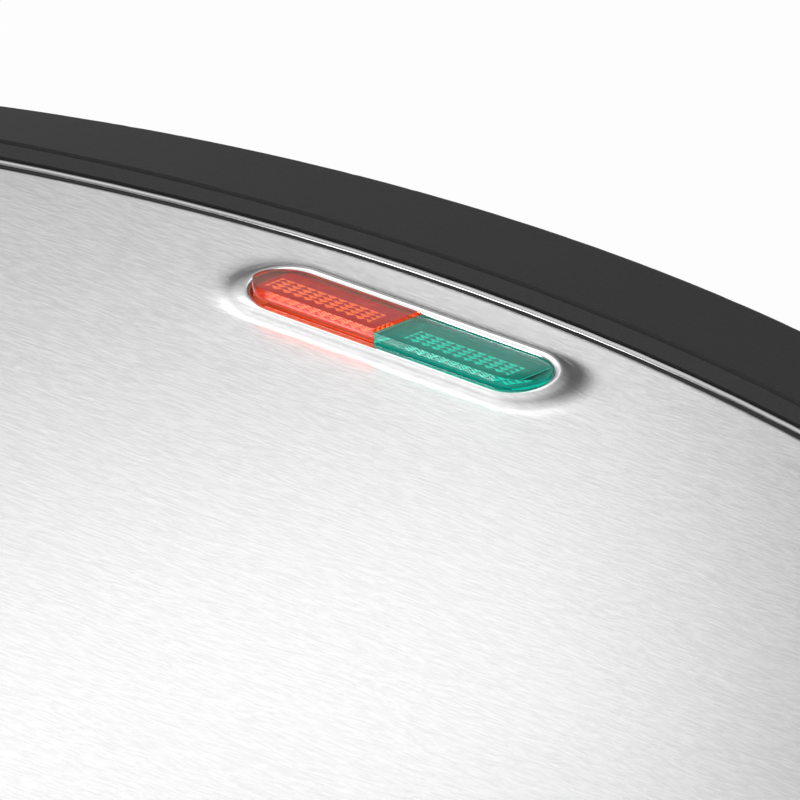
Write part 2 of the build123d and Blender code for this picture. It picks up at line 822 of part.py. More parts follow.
# Lid housing: tapered wall, sloping shoulder, ledge for the skin, hinge knuckles and lamp shelf
groove_middle = bezel_outer_reach + groove_gap / 2
with BuildPart() as lid_housing:
    lid_sections = [
        outline(lid_rim_level, body_shape),
        outline(shoulder_level, body_shape, lid_taper),
        outline(bezel_top, skin_shape, -(groove_middle + groove_chamfer)),
    ]
    loft(lid_sections, ruled=True)
    shoulder_edges = lid_housing.edges().filter_by_position(
        Axis.Z, shoulder_level - level_band, shoulder_level + level_band
    )
    level_edges = shoulder_edges.filter_by(lambda edge: edge.bounding_box().size.Z < level_band)
    fillet(level_edges, shoulder_edge_radius)
    for side in (-1, 1):
        knuckle_x = side * hinge_x - lid_knuckle_half
        wall_y = body_back(hinge_x + lid_knuckle_half, lid_taper)
        with BuildSketch(side_plane(knuckle_x)) as knuckle:
            with BuildLine():
                Polyline(
                    (wall_y - wall, hinge_level - hinge_barrel_radius + lid_knuckle_chin),
                    (hinge_back, hinge_level - hinge_barrel_radius + lid_knuckle_chin),
                    (hinge_back, hinge_level + hinge_barrel_radius),
                    (wall_y - wall, hinge_level + 2 * hinge_barrel_radius),
                    close=True,
                )
            make_face()
            with Locations((hinge_back, hinge_level)):
                Circle(hinge_barrel_radius)
        extrude(knuckle.sketch, amount=lid_knuckle_width)
    cavity_shoulder = shoulder_level - wall
    cavity_sections = [
        outline(lid_rim_level, body_shape, wall),
        outline(cavity_shoulder, body_shape, lid_inset(cavity_shoulder) + wall),
        outline(ledge_bottom, skin_shape, -bezel_outer_reach),
    ]
    loft(cavity_sections, ruled=True, mode=Mode.SUBTRACT)
    opening_height = bezel_top - ledge_bottom
    extrude(outline(ledge_bottom, skin_shape, ledge_inner_reach), amount=opening_height, mode=Mode.SUBTRACT)
    recess_reach = bezel_outer_reach + groove_gap
    extrude(
        outline(flange_bottom, skin_shape, -recess_reach),
        amount=bezel_top - flange_bottom,
        mode=Mode.SUBTRACT,
    )
    extrude(
        ring(groove_floor, skin_shape, recess_reach, skirt_inner_reach - groove_gap),
        amount=flange_bottom - groove_floor,
        mode=Mode.SUBTRACT,
    )
    bevel_sections = [
        outline(bezel_top - groove_chamfer, skin_shape, -recess_reach),
        outline(bezel_top, skin_shape, -(recess_reach + groove_chamfer)),
    ]
    loft(bevel_sections, ruled=True, mode=Mode.SUBTRACT)
    # posts for the upper surround's screws
    upper_post_level = 2 * parting_level - post_top_level
    with Locations(plan_plane(upper_post_level)):
        with Locations(*post_points):
            Cylinder(deck_boss_radius, ledge_bottom + ledge_post_root - upper_post_level, align=up)
            Cylinder(surround_screw_radius + screw_clearance, lid_screw_pilot, align=up, mode=Mode.SUBTRACT)
    # shelf that carries the lamp housing, hung from the ledge
    shelf_back = skin_depth / 2 - ledge_inner_reach
    shelf_front = window_y - lens_flange_width / 2 - lamp_shelf_lip
    with Locations((0, body_y + shelf_back, shelf_top - lamp_shelf)):
        Box(
            2 * lamp_shelf_half_width,
            wall,
            groove_floor - shelf_top + lamp_shelf,
            align=(Align.CENTER, Align.MIN, Align.MIN),
        )
        Box(
            2 * lamp_shelf_half_width,
            shelf_back - shelf_front,
            lamp_shelf,
            align=(Align.CENTER, Align.MAX, Align.MIN),
        )
    with Locations((0, body_y + window_y, shelf_top)):
        Box(
            lamp_housing_length + lamp_housing_play,
            lens_flange_width + lamp_housing_play,
            bezel_top - shelf_top,
            align=up,
            mode=Mode.SUBTRACT,
        )
        with GridLocations(lamp_housing_length - 2 * lamp_screw_inset, 0, 2, 1):
            Cylinder(
                lamp_screw_radius + screw_hole_clearance, lamp_shelf, align=down, mode=Mode.SUBTRACT
            )
    # slots for the bezel's prongs
    prong_circle = skin_end_radius + bezel_outer_reach - bezel_skirt / 2
    prong_centre = skin_depth / 2 - skin_end_radius
    for end in (-1, 1):
        for angle in prong_angles:
            turn = math.radians(angle)
            slot_x = prong_circle * math.sin(turn)
            slot_y = end * (prong_centre + prong_circle * math.cos(turn))
            slot = Location((slot_x, body_y + slot_y, ledge_bottom), (0, 0, -end * angle))
            with Locations(slot):
                Box(
                    prong_width + prong_slot_play,
                    prong_thickness + prong_slot_play,
                    2 * ledge_thickness,
                    mode=Mode.SUBTRACT,
                )
    # pads inside the front wall for the upper handle's screws
    handle_screw_high = lid_rim_level + handle_screw_drop
    for pad_x in (-handle_screw_x, handle_screw_x):
        pad_depth = body_back(handle_screw_x + handle_pad_radius, lid_taper) - handle_screw_seat
        seat = Location((pad_x, body_y - handle_screw_seat, handle_screw_high), (90, 0, 0))
        with Locations(seat):
            Cylinder(handle_pad_radius, pad_depth, align=up)
            Cylinder(
                plate_screw_radius + screw_hole_clearance, 2 * pad_depth + wall, align=up, mode=Mode.SUBTRACT
            )
    # holes for the hinge pins and the crossing sleeve
    for side in (-1, 1):
        with Locations(Location((side * hinge_x, body_y + hinge_back, hinge_level), (0, 90, 0))):
            Cylinder(hinge_pin_radius + running_clearance, knuckle_span, mode=Mode.SUBTRACT)
    with Locations(Location((0, rear_of_body, sleeve_lid_level), (90, 0, 0))):
        Cylinder(grommet_body_radius + screw_clearance, rear_hole_depth, mode=Mode.SUBTRACT)
lid_housing.part.label = "lid_housing"
export_step(lid_housing.part, "parts/lid_housing.step")

# Upper surround: the lower one mirrored, with its screws put in from the deck's face
with BuildPart() as upper_surround:
    mirror(lower_surround.part, about=parting_plane)
    upper_deck_face = 2 * parting_level - deck_top
    with Locations(plan_plane(upper_deck_face)):
        with Locations(*post_points):
            Cylinder(
                surround_screw_head + 2 * screw_hole_clearance, lid_screw_sink, align=up, mode=Mode.SUBTRACT
            )
            Cylinder(
                surround_screw_radius + screw_hole_clearance,
                upper_post_level - upper_deck_face,
                align=up,
                mode=Mode.SUBTRACT,
            )
upper_surround.part.label = "upper_surround"
export_step(upper_surround.part, "parts/upper_surround.step")

# Screws of the upper surround, heads sunk in the deck's face
with BuildPart() as lid_screws:
    with Locations(plan_plane(upper_deck_face + lid_screw_sink)):
        with Locations(*post_points):
            cross_head_screw(
                surround_screw_radius, lid_screw_length, surround_screw_head, surround_screw_head_height
            )
lid_screws.part.label = "lid_screws"
export_step(lid_screws.part, "parts/lid_screws.step")

# Upper cooking unit: plate, element, pan, screws and boots, mirrored from the lower one
with BuildPart() as upper_plate:
    mirror(lower_plate.part, about=parting_plane)
upper_plate.part.label = "upper_plate"
export_step(upper_plate.part, "parts/upper_plate.step")

with BuildPart() as upper_element:
    mirror(lower_element.part, about=parting_plane)
upper_element.part.label = "upper_element"
export_step(upper_element.part, "parts/upper_element.step")

with BuildPart() as upper_reflector:
    mirror(lower_reflector.part, about=parting_plane)
upper_reflector.part.label = "upper_reflector"
export_step(upper_reflector.part, "parts/upper_reflector.step")

with BuildPart() as upper_plate_screws:
    mirror(lower_plate_screws.part, about=parting_plane)
upper_plate_screws.part.label = "upper_plate_screws"
export_step(upper_plate_screws.part, "parts/upper_plate_screws.step")

with BuildPart() as upper_terminal_boots:
    mirror(lower_terminal_boots.part, about=parting_plane)
upper_terminal_boots.part.label = "upper_terminal_boots"
export_step(upper_terminal_boots.part, "parts/upper_terminal_boots.step")

# Thermostat on the back of the upper pan, with two upright blades
upper_pan_back = 2 * parting_level - pan_floor_bottom
with BuildPart() as thermostat:
    with Locations((thermostat_x, body_y + thermostat_y, upper_pan_back)):
        Cylinder(thermostat_radius + thermostat_flange_reach, thermostat_flange, align=up)
        Cylinder(thermostat_radius, thermostat_height, align=up)
        with Locations((0, 0, thermostat_height)):
            with GridLocations(blade_pitch, 0, 2, 1):
                Box(blade_thickness, blade_width, blade_height, align=up)
thermostat.part.label = "thermostat"
export_step(thermostat.part, "parts/thermostat.step")

# Leads in the lid, from the crossing sleeve to the upper element
upper_element_level = 2 * parting_level - element_level
with BuildPart() as upper_leads:
    for side in (-1, 1):
        spread_lead = [
            (side * crossing_lead_x, body_y + sleeve_inner_end - lead_gap, sleeve_lid_level),
            (side * crossing_lead_x, body_y + sleeve_inner_end - crossing_lead_run, sleeve_lid_level),
            (side * element_end_x, body_y + boot_back + upper_lead_run, upper_element_level),
            (side * element_end_x, body_y + boot_back + lead_gap, upper_element_level),
        ]
        wire(spread_lead, lead_radius, lead_bend)
upper_leads.part.label = "upper_leads"
export_step(upper_leads.part, "parts/upper_leads.step")

# Flexible sleeve that carries the leads round the hinge
with BuildPart() as hinge_cable_sleeve:
    sleeve_points = [
        (0, body_y + sleeve_inner_end, sleeve_base_level),
        (0, body_y + sleeve_back, sleeve_base_level),
        (0, body_y + sleeve_back, sleeve_lid_level),
        (0, body_y + sleeve_inner_end, sleeve_lid_level),
    ]
    wire(sleeve_points, sleeve_radius, sleeve_bend)
hinge_cable_sleeve.part.label = "hinge_cable_sleeve"
export_step(hinge_cable_sleeve.part, "parts/hinge_cable_sleeve.step")


def grommet(rear_y, level):
    """Flanged rubber bush in the rear wall, pointing forward from rear_y."""
    with Locations(Location((0, rear_y, level), (90, 0, 0))):
        grommet_length = grommet_flange + wall + grommet_tail
        Cylinder(grommet_flange_radius, grommet_flange, align=up)
        Cylinder(grommet_body_radius, grommet_length, align=up)
        Cylinder(sleeve_radius + screw_clearance, grommet_length, align=up, mode=Mode.SUBTRACT)


# Grommets where the sleeve enters the base and the lid
with BuildPart() as base_grommet:
    base_grommet_seat = body_back(0, base_inset(sleeve_base_level + grommet_flange_radius))
    grommet(body_y + base_grommet_seat + seat_gap + grommet_flange, sleeve_base_level)
base_grommet.part.label = "base_grommet"
export_step(base_grommet.part, "parts/base_grommet.step")

with BuildPart() as lid_grommet:
    lid_grommet_seat = body_back(0, lid_inset(sleeve_lid_level - grommet_flange_radius))
    grommet(body_y + lid_grommet_seat + seat_gap + grommet_flange, sleeve_lid_level)
lid_grommet.part.label = "lid_grommet"
export_step(lid_grommet.part, "parts/lid_grommet.step")

# Lid skin: crowned steel panel, stepped down to a flange, with the raised boss of the window
sphere_centre = (0, body_y, crown_top - skin_crown_radius)
skin_stock = crown_top - flange_bottom + skin_step
with BuildPart() as skin_core:
    extrude(outline(flange_bottom, skin_shape, skin_thickness), amount=skin_stock)
    with Locations(sphere_centre):
        Sphere(skin_crown_radius - skin_thickness, mode=Mode.INTERSECT)
boss_length = window_length + 2 * boss_rim
boss_width = window_width + 2 * boss_rim
with BuildPart() as lid_skin:
    extrude(outline(flange_bottom, skin_shape), amount=skin_stock)
    with Locations(sphere_centre):
        Sphere(skin_crown_radius, mode=Mode.INTERSECT)
    add(skin_core.part, mode=Mode.SUBTRACT)
    extrude(ring(flange_bottom, skin_shape, skin_flange_width, -skin_thickness), amount=skin_thickness)
    foot_level = window_level - skin_thickness / 2
    boss_sections = [
        obround(foot_level, boss_length + 2 * boss_flank, boss_width + 2 * boss_flank),
        obround(boss_top, boss_length, boss_width),
    ]
    loft(boss_sections, ruled=True)
    hollow_length = boss_length - 2 * boss_hollow_inset
    hollow_width = boss_width - 2 * boss_hollow_inset
    hollow_sections = [
        obround(foot_level - skin_thickness, hollow_length + 2 * boss_flank, hollow_width + 2 * boss_flank),
        obround(boss_top - skin_thickness, hollow_length, hollow_width),
    ]
    loft(hollow_sections, ruled=True, mode=Mode.SUBTRACT)
    window_cut = obround(foot_level - skin_stock, window_length, window_width)
    extrude(window_cut, amount=2 * skin_stock, mode=Mode.SUBTRACT)
lid_skin.part.label = "lid_skin"
export_step(lid_skin.part, "parts/lid_skin.step")

# Trim ring standing on the skin's flange, inside the bezel
with BuildPart() as trim_ring:
    extrude(
        ring(flange_top, skin_shape, trim_outer_reach, trim_inner_reach),
        amount=skin_step + trim_above_skin,
    )
    fillet(trim_ring.faces().sort_by(Axis.Z)[-1].edges(), trim_edge_radius)
trim_ring.part.label = "trim_ring"
export_step(trim_ring.part, "parts/trim_ring.step")

# Bezel ring over the skin's flange, with a skirt and snap prongs
with BuildPart() as lid_bezel:
    extrude(
        ring(flange_top, skin_shape, bezel_outer_reach, bezel_inner_reach), amount=bezel_top - flange_top
    )
    top_face = lid_bezel.faces().sort_by(Axis.Z)[-1]
    chamfer(top_face.outer_wire().edges(), groove_chamfer)
    prong_root = flange_top - bezel_skirt_depth
    prong_tip = ledge_bottom - prong_below_ledge
    extrude(ring(prong_root, skin_shape, bezel_outer_reach, skirt_inner_reach), amount=bezel_skirt_depth)
    for end in (-1, 1):
        for angle in prong_angles:
            turn = math.radians(angle)
            prong_x = prong_circle * math.sin(turn)
            prong_y = end * (prong_centre + prong_circle * math.cos(turn))
            spot = Location((prong_x, body_y + prong_y, prong_tip), (0, 0, -end * angle))
            with Locations(spot):
                Box(prong_width, prong_thickness, prong_root - prong_tip + prong_root_overlap, align=up)
lid_bezel.part.label = "lid_bezel"
export_step(lid_bezel.part, "parts/lid_bezel.step")


def lens(side, proud):
    """Half of the signal lens, on the side of X given by its sign, standing proud of the boss."""
    reach = lens_flange_length
    extrude(obround(lens_flange_bottom, lens_flange_length, lens_flange_width), amount=lens_flange)
    lens_length = window_length - lens_length_gap
    lens_width = window_width - lens_width_gap
    extrude(
        obround(lens_flange_bottom, lens_length, lens_width), amount=boss_top + proud - lens_flange_bottom
    )
    with Locations((side * lens_joint / 2, body_y + window_y, lens_flange_bottom)):
        keep = (Align.MIN if side > 0 else Align.MAX, Align.CENTER, Align.MIN)
        Box(reach, reach, reach, align=keep, mode=Mode.INTERSECT)


# Red and green halves of the signal lens
with BuildPart() as red_lens:
    lens(-1, red_lens_proud)
    red_end = red_lens.faces().sort_by(Axis.Z)[-1].edges().filter_by(Axis.Y)
    chamfer(red_end, lens_end_chamfer)
    red_top = red_lens.faces().sort_by(Axis.Z)[-1].edges()
    fillet(red_top - red_top.filter_by(Axis.Y), lens_edge_radius)
red_lens.part.label = "red_lens"
export_step(red_lens.part, "parts/red_lens.step")

with BuildPart() as green_lens:
    lens(1, green_lens_proud)
    green_rim = green_lens.faces().sort_by(Axis.Z)[-1].edges()
    fillet(green_rim, lens_edge_radius)
green_lens.part.label = "green_lens"
export_step(green_lens.part, "parts/green_lens.step")

# Lamp housing: two chambers open to the lenses
lamp_pitch = lamp_chamber_length + lamp_chamber_wall
with BuildPart() as lamp_housing:
    with Locations((0, body_y + window_y, shelf_top)):
        housing_height = lens_flange_bottom - shelf_top
        Box(lamp_housing_length, lens_flange_width, housing_height, align=up)
        with Locations((0, 0, lamp_floor)):
            with GridLocations(lamp_pitch, 0, 2, 1):
                Box(
                    lamp_chamber_length,
                    lamp_chamber_width,
                    lamp_chamber_depth,
                    align=up,
                    mode=Mode.SUBTRACT,
                )
        with GridLocations(lamp_housing_length - 2 * lamp_screw_inset, 0, 2, 1):
            Cylinder(
                lamp_screw_radius + screw_clearance, lamp_screw_bite + seat_gap, align=up, mode=Mode.SUBTRACT
            )
lamp_housing.part.label = "lamp_housing"
export_step(lamp_housing.part, "parts/lamp_housing.step")

# Two neon lamps lying in the chambers
with BuildPart() as neon_lamps:
    lamp_axis = shelf_top + lamp_floor + lamp_radius + seat_gap
    for side in (-1, 1):
        with Locations(Location((side * lamp_pitch / 2, body_y + window_y, lamp_axis), (0, 90, 0))):
            Cylinder(lamp_radius, lamp_length)
    fillet(neon_lamps.edges().filter_by(GeomType.CIRCLE), lamp_end_radius)
neon_lamps.part.label = "neon_lamps"
export_step(neon_lamps.part, "parts/neon_lamps.step")

# Screws that hold the lamp housing on its shelf
with BuildPart() as lamp_screws:
    with Locations((0, body_y + window_y, shelf_top - lamp_shelf)):
        with GridLocations(lamp_housing_length - 2 * lamp_screw_inset, 0, 2, 1):
            cross_head_screw(
                lamp_screw_radius, lamp_shelf + lamp_screw_bite, lamp_screw_head, lamp_screw_head_height
            )
lamp_screws.part.label = "lamp_screws"
export_step(lamp_screws.part, "parts/lamp_screws.step")


def handle_plan(level, notch_back=None):
    """Plan of a handle half, or of its hollow where the depth of its latch notch is given."""
    root_y = -body_depth / 2 + handle_root_depth
    front_y = -body_depth / 2 - handle_reach
    with BuildSketch(plan_plane(level)) as plan:
        with BuildLine():
            Polyline(
                (-handle_front_half, front_y + handle_bow),
                (-handle_root_half, root_y),
                (handle_root_half, root_y),
                (handle_front_half, front_y + handle_bow),
            )
            ThreePointArc(
                (handle_front_half, front_y + handle_bow),
                (0, front_y),
                (-handle_front_half, front_y + handle_bow),
            )
        make_face()
        fillet(plan.vertices().group_by(Axis.Y)[0], radius=handle_corner_radius)
        if notch_back is not None:
            root_face = -body_depth / 2 - handle_root_wall
            offset(amount=-handle_wall, mode=Mode.REPLACE)
            with Locations((0, root_face)):
                Rectangle(2 * handle_root_half, handle_reach, align=front_of, mode=Mode.INTERSECT)
            with Locations((0, front_y)):
                Rectangle(ear_width, notch_back + handle_wall, align=behind, mode=Mode.SUBTRACT)
            with Locations((-handle_screw_x, root_face), (handle_screw_x, root_face)):
                Rectangle(
                    2 * handle_pad_radius, handle_screw_length, align=front_of, mode=Mode.SUBTRACT
                )
    return plan.sketch


front_of = (Align.CENTER, Align.MAX)
behind = (Align.CENTER, Align.MIN)
handle_front = body_depth / 2 + handle_reach
notch_width = latch_width + 2 * latch_side_gap
ear_width = notch_width + 2 * latch_ear
upper_notch = latch_setback + latch_barrel_radius + latch_barrel_room
lower_notch = latch_setback
handle_pilot = handle_screw_length + handle_pilot_end

# Lower handle: hollow from above, with a slot in front for the latch
with BuildPart() as lower_handle:
    handle_bottom = base_rim_level - handle_height
    extrude(handle_plan(handle_bottom), amount=handle_height)
    fillet(lower_handle.faces().sort_by(Axis.Z)[0].edges(), handle_edge_radius)
    grown_base = [
        outline(base_bottom_level, body_shape, base_taper - seat_gap),
        outline(base_rim_level, body_shape, -seat_gap),
    ]
    loft(grown_base, ruled=True, mode=Mode.SUBTRACT)
    extrude(
        handle_plan(handle_bottom + handle_wall, lower_notch), amount=handle_height, mode=Mode.SUBTRACT
    )
    with Locations((0, body_y - handle_front, handle_bottom)):
        Box(
            notch_width,
            lower_notch,
            handle_height,
            align=(Align.CENTER, Align.MIN, Align.MIN),
            mode=Mode.SUBTRACT,
        )
    for pad_x in (-handle_screw_x, handle_screw_x):
        with Locations(Location((pad_x, body_y - handle_screw_seat, handle_screw_low), (90, 0, 0))):
            Cylinder(plate_screw_radius + screw_clearance, handle_pilot, align=up, mode=Mode.SUBTRACT)
lower_handle.part.label = "lower_handle"
export_step(lower_handle.part, "parts/lower_handle.step")

# Upper handle: hollow from below, with ears for the latch pin
latch_pivot_y = -(handle_front - latch_setback)
latch_pivot_level = lid_rim_level + latch_pivot_height
with BuildPart() as upper_handle:
    extrude(handle_plan(lid_rim_level), amount=handle_height)
    fillet(upper_handle.faces().sort_by(Axis.Z)[-1].edges(), handle_edge_radius)
    grown_lid = [
        outline(lid_rim_level, body_shape, -seat_gap),
        outline(shoulder_level, body_shape, lid_taper - seat_gap),
    ]
    loft(grown_lid, ruled=True, mode=Mode.SUBTRACT)
    extrude(
        handle_plan(lid_rim_level, upper_notch), amount=handle_height - handle_wall, mode=Mode.SUBTRACT
    )
    with Locations((0, body_y - handle_front, lid_rim_level)):
        Box(
            notch_width,
            upper_notch,
            handle_height,
            align=(Align.CENTER, Align.MIN, Align.MIN),
            mode=Mode.SUBTRACT,
        )
    with Locations(Location((0, body_y + latch_pivot_y, latch_pivot_level), (0, 90, 0))):
        Cylinder(latch_pin_radius + pin_fit, ear_width, mode=Mode.SUBTRACT)
    for pad_x in (-handle_screw_x, handle_screw_x):
        with Locations(Location((pad_x, body_y - handle_screw_seat, handle_screw_high), (90, 0, 0))):
            Cylinder(plate_screw_radius + screw_clearance, handle_pilot, align=up, mode=Mode.SUBTRACT)
upper_handle.part.label = "upper_handle"
export_step(upper_handle.part, "parts/upper_handle.step")

# Handle screws, put in from inside the housings
with BuildPart() as lower_handle_screws:
    for pad_x in (-handle_screw_x, handle_screw_x):
        with Locations(Location((pad_x, body_y - handle_screw_seat, handle_screw_low), (90, 0, 0))):
            cross_head_screw(
                plate_screw_radius, handle_screw_length, plate_screw_head, plate_screw_head_height
            )
lower_handle_screws.part.label = "lower_handle_screws"
export_step(lower_handle_screws.part, "parts/lower_handle_screws.step")

with BuildPart() as upper_handle_screws:
    for pad_x in (-handle_screw_x, handle_screw_x):
        with Locations(Location((pad_x, body_y - handle_screw_seat, handle_screw_high), (90, 0, 0))):
            cross_head_screw(
                plate_screw_radius, handle_screw_length, plate_screw_head, plate_screw_head_height
            )
upper_handle_screws.part.label = "upper_handle_screws"
export_step(upper_handle_screws.part, "parts/upper_handle_screws.step")

# Latch: barrel, arm, hook and finger lip, drawn hanging open by its swing
hook_top = latch_hook - latch_drop
swing = math.radians(latch_swing)
latch_plane = Plane(
    origin=(-latch_width / 2, body_y + latch_pivot_y, latch_pivot_level),
    x_dir=(0, math.cos(swing), -math.sin(swing)),
    z_dir=(1, 0, 0),
)
with BuildPart() as latch:
    with BuildSketch(latch_plane) as latch_section:
        Circle(latch_barrel_radius)
        arm_front = latch_face_step - latch_setback
        with BuildLine():
            Polyline(
                (arm_front, 0),
                (arm_front, hook_top),
                (arm_front - latch_lip, hook_top - latch_hook),
                (latch_hook_reach, hook_top - latch_hook),
                (latch_hook_reach, hook_top),
                (arm_front + latch_arm, hook_top),
                (arm_front + latch_arm, 0),
                close=True,
            )
        make_face()
    extrude(latch_section.sketch, amount=latch_width)
    with Locations(Location((0, body_y + latch_pivot_y, latch_pivot_level), (0, 90, 0))):
        Cylinder(latch_pin_radius + running_clearance, latch_width + 2, mode=Mode.SUBTRACT)
latch.part.label = "latch"
export_step(latch.part, "parts/latch.step")

# Latch pin, fixed in the upper handle's ears
with BuildPart() as latch_pin:
    with Locations(Location((0, body_y + latch_pivot_y, latch_pivot_level), (0, 90, 0))):
        Cylinder(latch_pin_radius, ear_width - 2 * latch_pin_end_gap)
latch_pin.part.label = "latch_pin"
export_step(latch_pin.part, "parts/latch_pin.step")
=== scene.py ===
import math

import bpy
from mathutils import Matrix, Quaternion, Vector


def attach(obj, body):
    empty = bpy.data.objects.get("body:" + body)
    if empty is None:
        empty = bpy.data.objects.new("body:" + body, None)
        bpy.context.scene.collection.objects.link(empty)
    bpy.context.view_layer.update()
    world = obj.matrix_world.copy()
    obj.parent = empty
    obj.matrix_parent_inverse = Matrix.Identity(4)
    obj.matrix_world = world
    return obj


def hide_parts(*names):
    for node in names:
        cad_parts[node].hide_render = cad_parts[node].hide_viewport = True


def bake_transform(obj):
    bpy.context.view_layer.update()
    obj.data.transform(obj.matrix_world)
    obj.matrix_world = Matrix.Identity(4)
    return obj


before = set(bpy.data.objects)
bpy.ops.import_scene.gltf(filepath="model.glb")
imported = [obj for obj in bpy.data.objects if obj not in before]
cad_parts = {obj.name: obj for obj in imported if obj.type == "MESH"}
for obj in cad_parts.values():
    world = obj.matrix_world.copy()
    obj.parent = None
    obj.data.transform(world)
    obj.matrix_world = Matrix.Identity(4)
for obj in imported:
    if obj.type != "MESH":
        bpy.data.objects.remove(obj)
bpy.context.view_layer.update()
MM = 0.001
ORIGIN = (0.0, 0.0, 0.0)


# Shader maths

class Value:
    """A socket of a material, so that maths on it is written as an expression."""

    def __init__(self, finish, socket):
        self.finish = finish
        self.socket = socket

    def maths(self, operation, *values):
        return self.finish.add("ShaderNodeMath", {"operation": operation}, dict(enumerate(values)))

    def __add__(self, other):
        return self.maths("ADD", self, other)

    def __radd__(self, other):
        return self.maths("ADD", other, self)

    def __sub__(self, other):
        return self.maths("SUBTRACT", self, other)

    def __rsub__(self, other):
        return self.maths("SUBTRACT", other, self)

    def __mul__(self, other):
        return self.maths("MULTIPLY", self, other)

    def __rmul__(self, other):
        return self.maths("MULTIPLY", other, self)

    def size(self):
        return self.maths("ABSOLUTE", self)

    def step(self, low, high):
        """Rises smoothly from 0 at low to 1 at high."""
        settings = {"interpolation_type": "SMOOTHSTEP", "clamp": True}
        sockets = {"Value": self, "From Min": low, "From Max": high}
        return self.finish.add("ShaderNodeMapRange", settings, sockets)


class Finish:
    """A node tree under making: that of a material, or of the world's light."""

    def __init__(self, owner):
        self.owner = owner
        owner.use_nodes = True
        self.tree = owner.node_tree
        self.tree.nodes.clear()

    def add(self, kind, settings=None, sockets=None, out=0):
        """Adds a node, sets it up, feeds its sockets, and gives the output that is asked for."""
        node = self.tree.nodes.new(kind)
        for name, value in (settings or {}).items():
            setattr(node, name, value)
        for name, value in (sockets or {}).items():
            socket = node.inputs[name]
            if isinstance(value, Value):
                self.tree.links.new(value.socket, socket)
            elif isinstance(value, tuple) and len(value) == 3 and socket.type == "RGBA":
                socket.default_value = (*value, 1.0)
            else:
                socket.default_value = value
        return Value(self, node.outputs[out]) if node.outputs else None

    def place(self, scale=(1.0, 1.0, 1.0), shift=ORIGIN):
        point = self.add("ShaderNodeTexCoord", out="Object")
        return self.add("ShaderNodeMapping", None, {"Vector": point, "Scale": scale, "Location": shift})

    def part_of(self, vector, axis):
        return self.add("ShaderNodeSeparateXYZ", None, {0: vector}, out=axis)

    def facing(self):
        """How far the surface faces along X and along Y of the object."""
        normal = self.add("ShaderNodeTexCoord", out="Normal")
        return self.part_of(normal, "X"), self.part_of(normal, "Y")

    def noise(self, scale, detail, roughness, where=None):
        sockets = {"Scale": scale, "Detail": detail, "Roughness": roughness, "Vector": where or self.place()}
        return self.add("ShaderNodeTexNoise", None, sockets, out="Fac")

    def mix(self, factor, first, second):
        return self.add("ShaderNodeMix", {"data_type": "RGBA"}, {0: factor, 6: first, 7: second}, out=2)

    def bump(self, height, distance, strength):
        return self.add("ShaderNodeBump", None, {"Height": height, "Distance": distance, "Strength": strength})

    def surface(self, **sockets):
        """Ends a material with a principled shader, and gives the material."""
        sockets = {name.replace("_", " "): value for name, value in sockets.items()}
        self.end(self.add("ShaderNodeBsdfPrincipled", None, sockets))
        return self.owner

    def end(self, shader, kind="ShaderNodeOutputMaterial"):
        self.add(kind, None, {"Surface": shader})


def finish_called(name):
    return Finish(bpy.data.materials.new(name))


# Finishes. Scales are in cycles per metre, depths of bumps in metres.

def moulded(name, dark, light, rough, grain, depth, specular=0.5):
    """A spark-eroded moulding: fine pitted grain, faint flow clouds, and a sheen that varies with both."""
    f = finish_called(name)
    pits = f.noise(grain, 2.0, 0.6)
    clouds = f.noise(38.0, 3.0, 0.5)
    return f.surface(
        Base_Color=f.mix((pits * 0.55 + clouds * 0.45).step(0.3, 0.7), dark, light),
        Roughness=rough + (clouds - 0.5) * 0.14 + (pits - 0.5) * 0.1,
        Normal=f.bump(pits, depth, 0.8),
        Specular_IOR_Level=specular,
    )


def sheet_metal(name, dark, light, rough, stretch, depth, tint=None):
    """A drawn or rolled metal: lines one way, dull clouds, and a tint where heat or plating has coloured it."""
    f = finish_called(name)
    lines = f.noise(1.0, 3.0, 0.6, f.place(stretch))
    clouds = f.noise(55.0, 4.0, 0.6)
    colour = f.mix(lines, dark, light)
    if tint:
        colour = f.mix(clouds.step(0.42, 0.7) * 0.7, colour, tint)
    return f.surface(
        Base_Color=colour,
        Roughness=rough + (clouds - 0.5) * 0.2 + (lines - 0.5) * 0.1,
        Normal=f.bump(lines, depth, 0.6),
        Metallic=1.0,
    )


def coated_casting():
    """Non-stick coating over a casting: soft orange peel, a fine net of paler lines, and rubbed places."""
    f = finish_called("non_stick_casting")
    cells = {"Vector": f.place(), "Scale": 1600.0}
    net = f.add("ShaderNodeTexVoronoi", {"feature": "DISTANCE_TO_EDGE"}, cells).step(0.0, 0.06)
    peel = f.noise(420.0, 2.0, 0.5)
    rub = f.noise(24.0, 4.0, 0.6)
    return f.surface(
        Base_Color=f.mix(net, (0.055, 0.055, 0.058), (0.028, 0.028, 0.030)),
        Roughness=0.36 + (rub - 0.5) * 0.22,
        Normal=f.bump(peel, 0.00008, 0.6),
        Coat_Weight=rub * 0.3,
    )


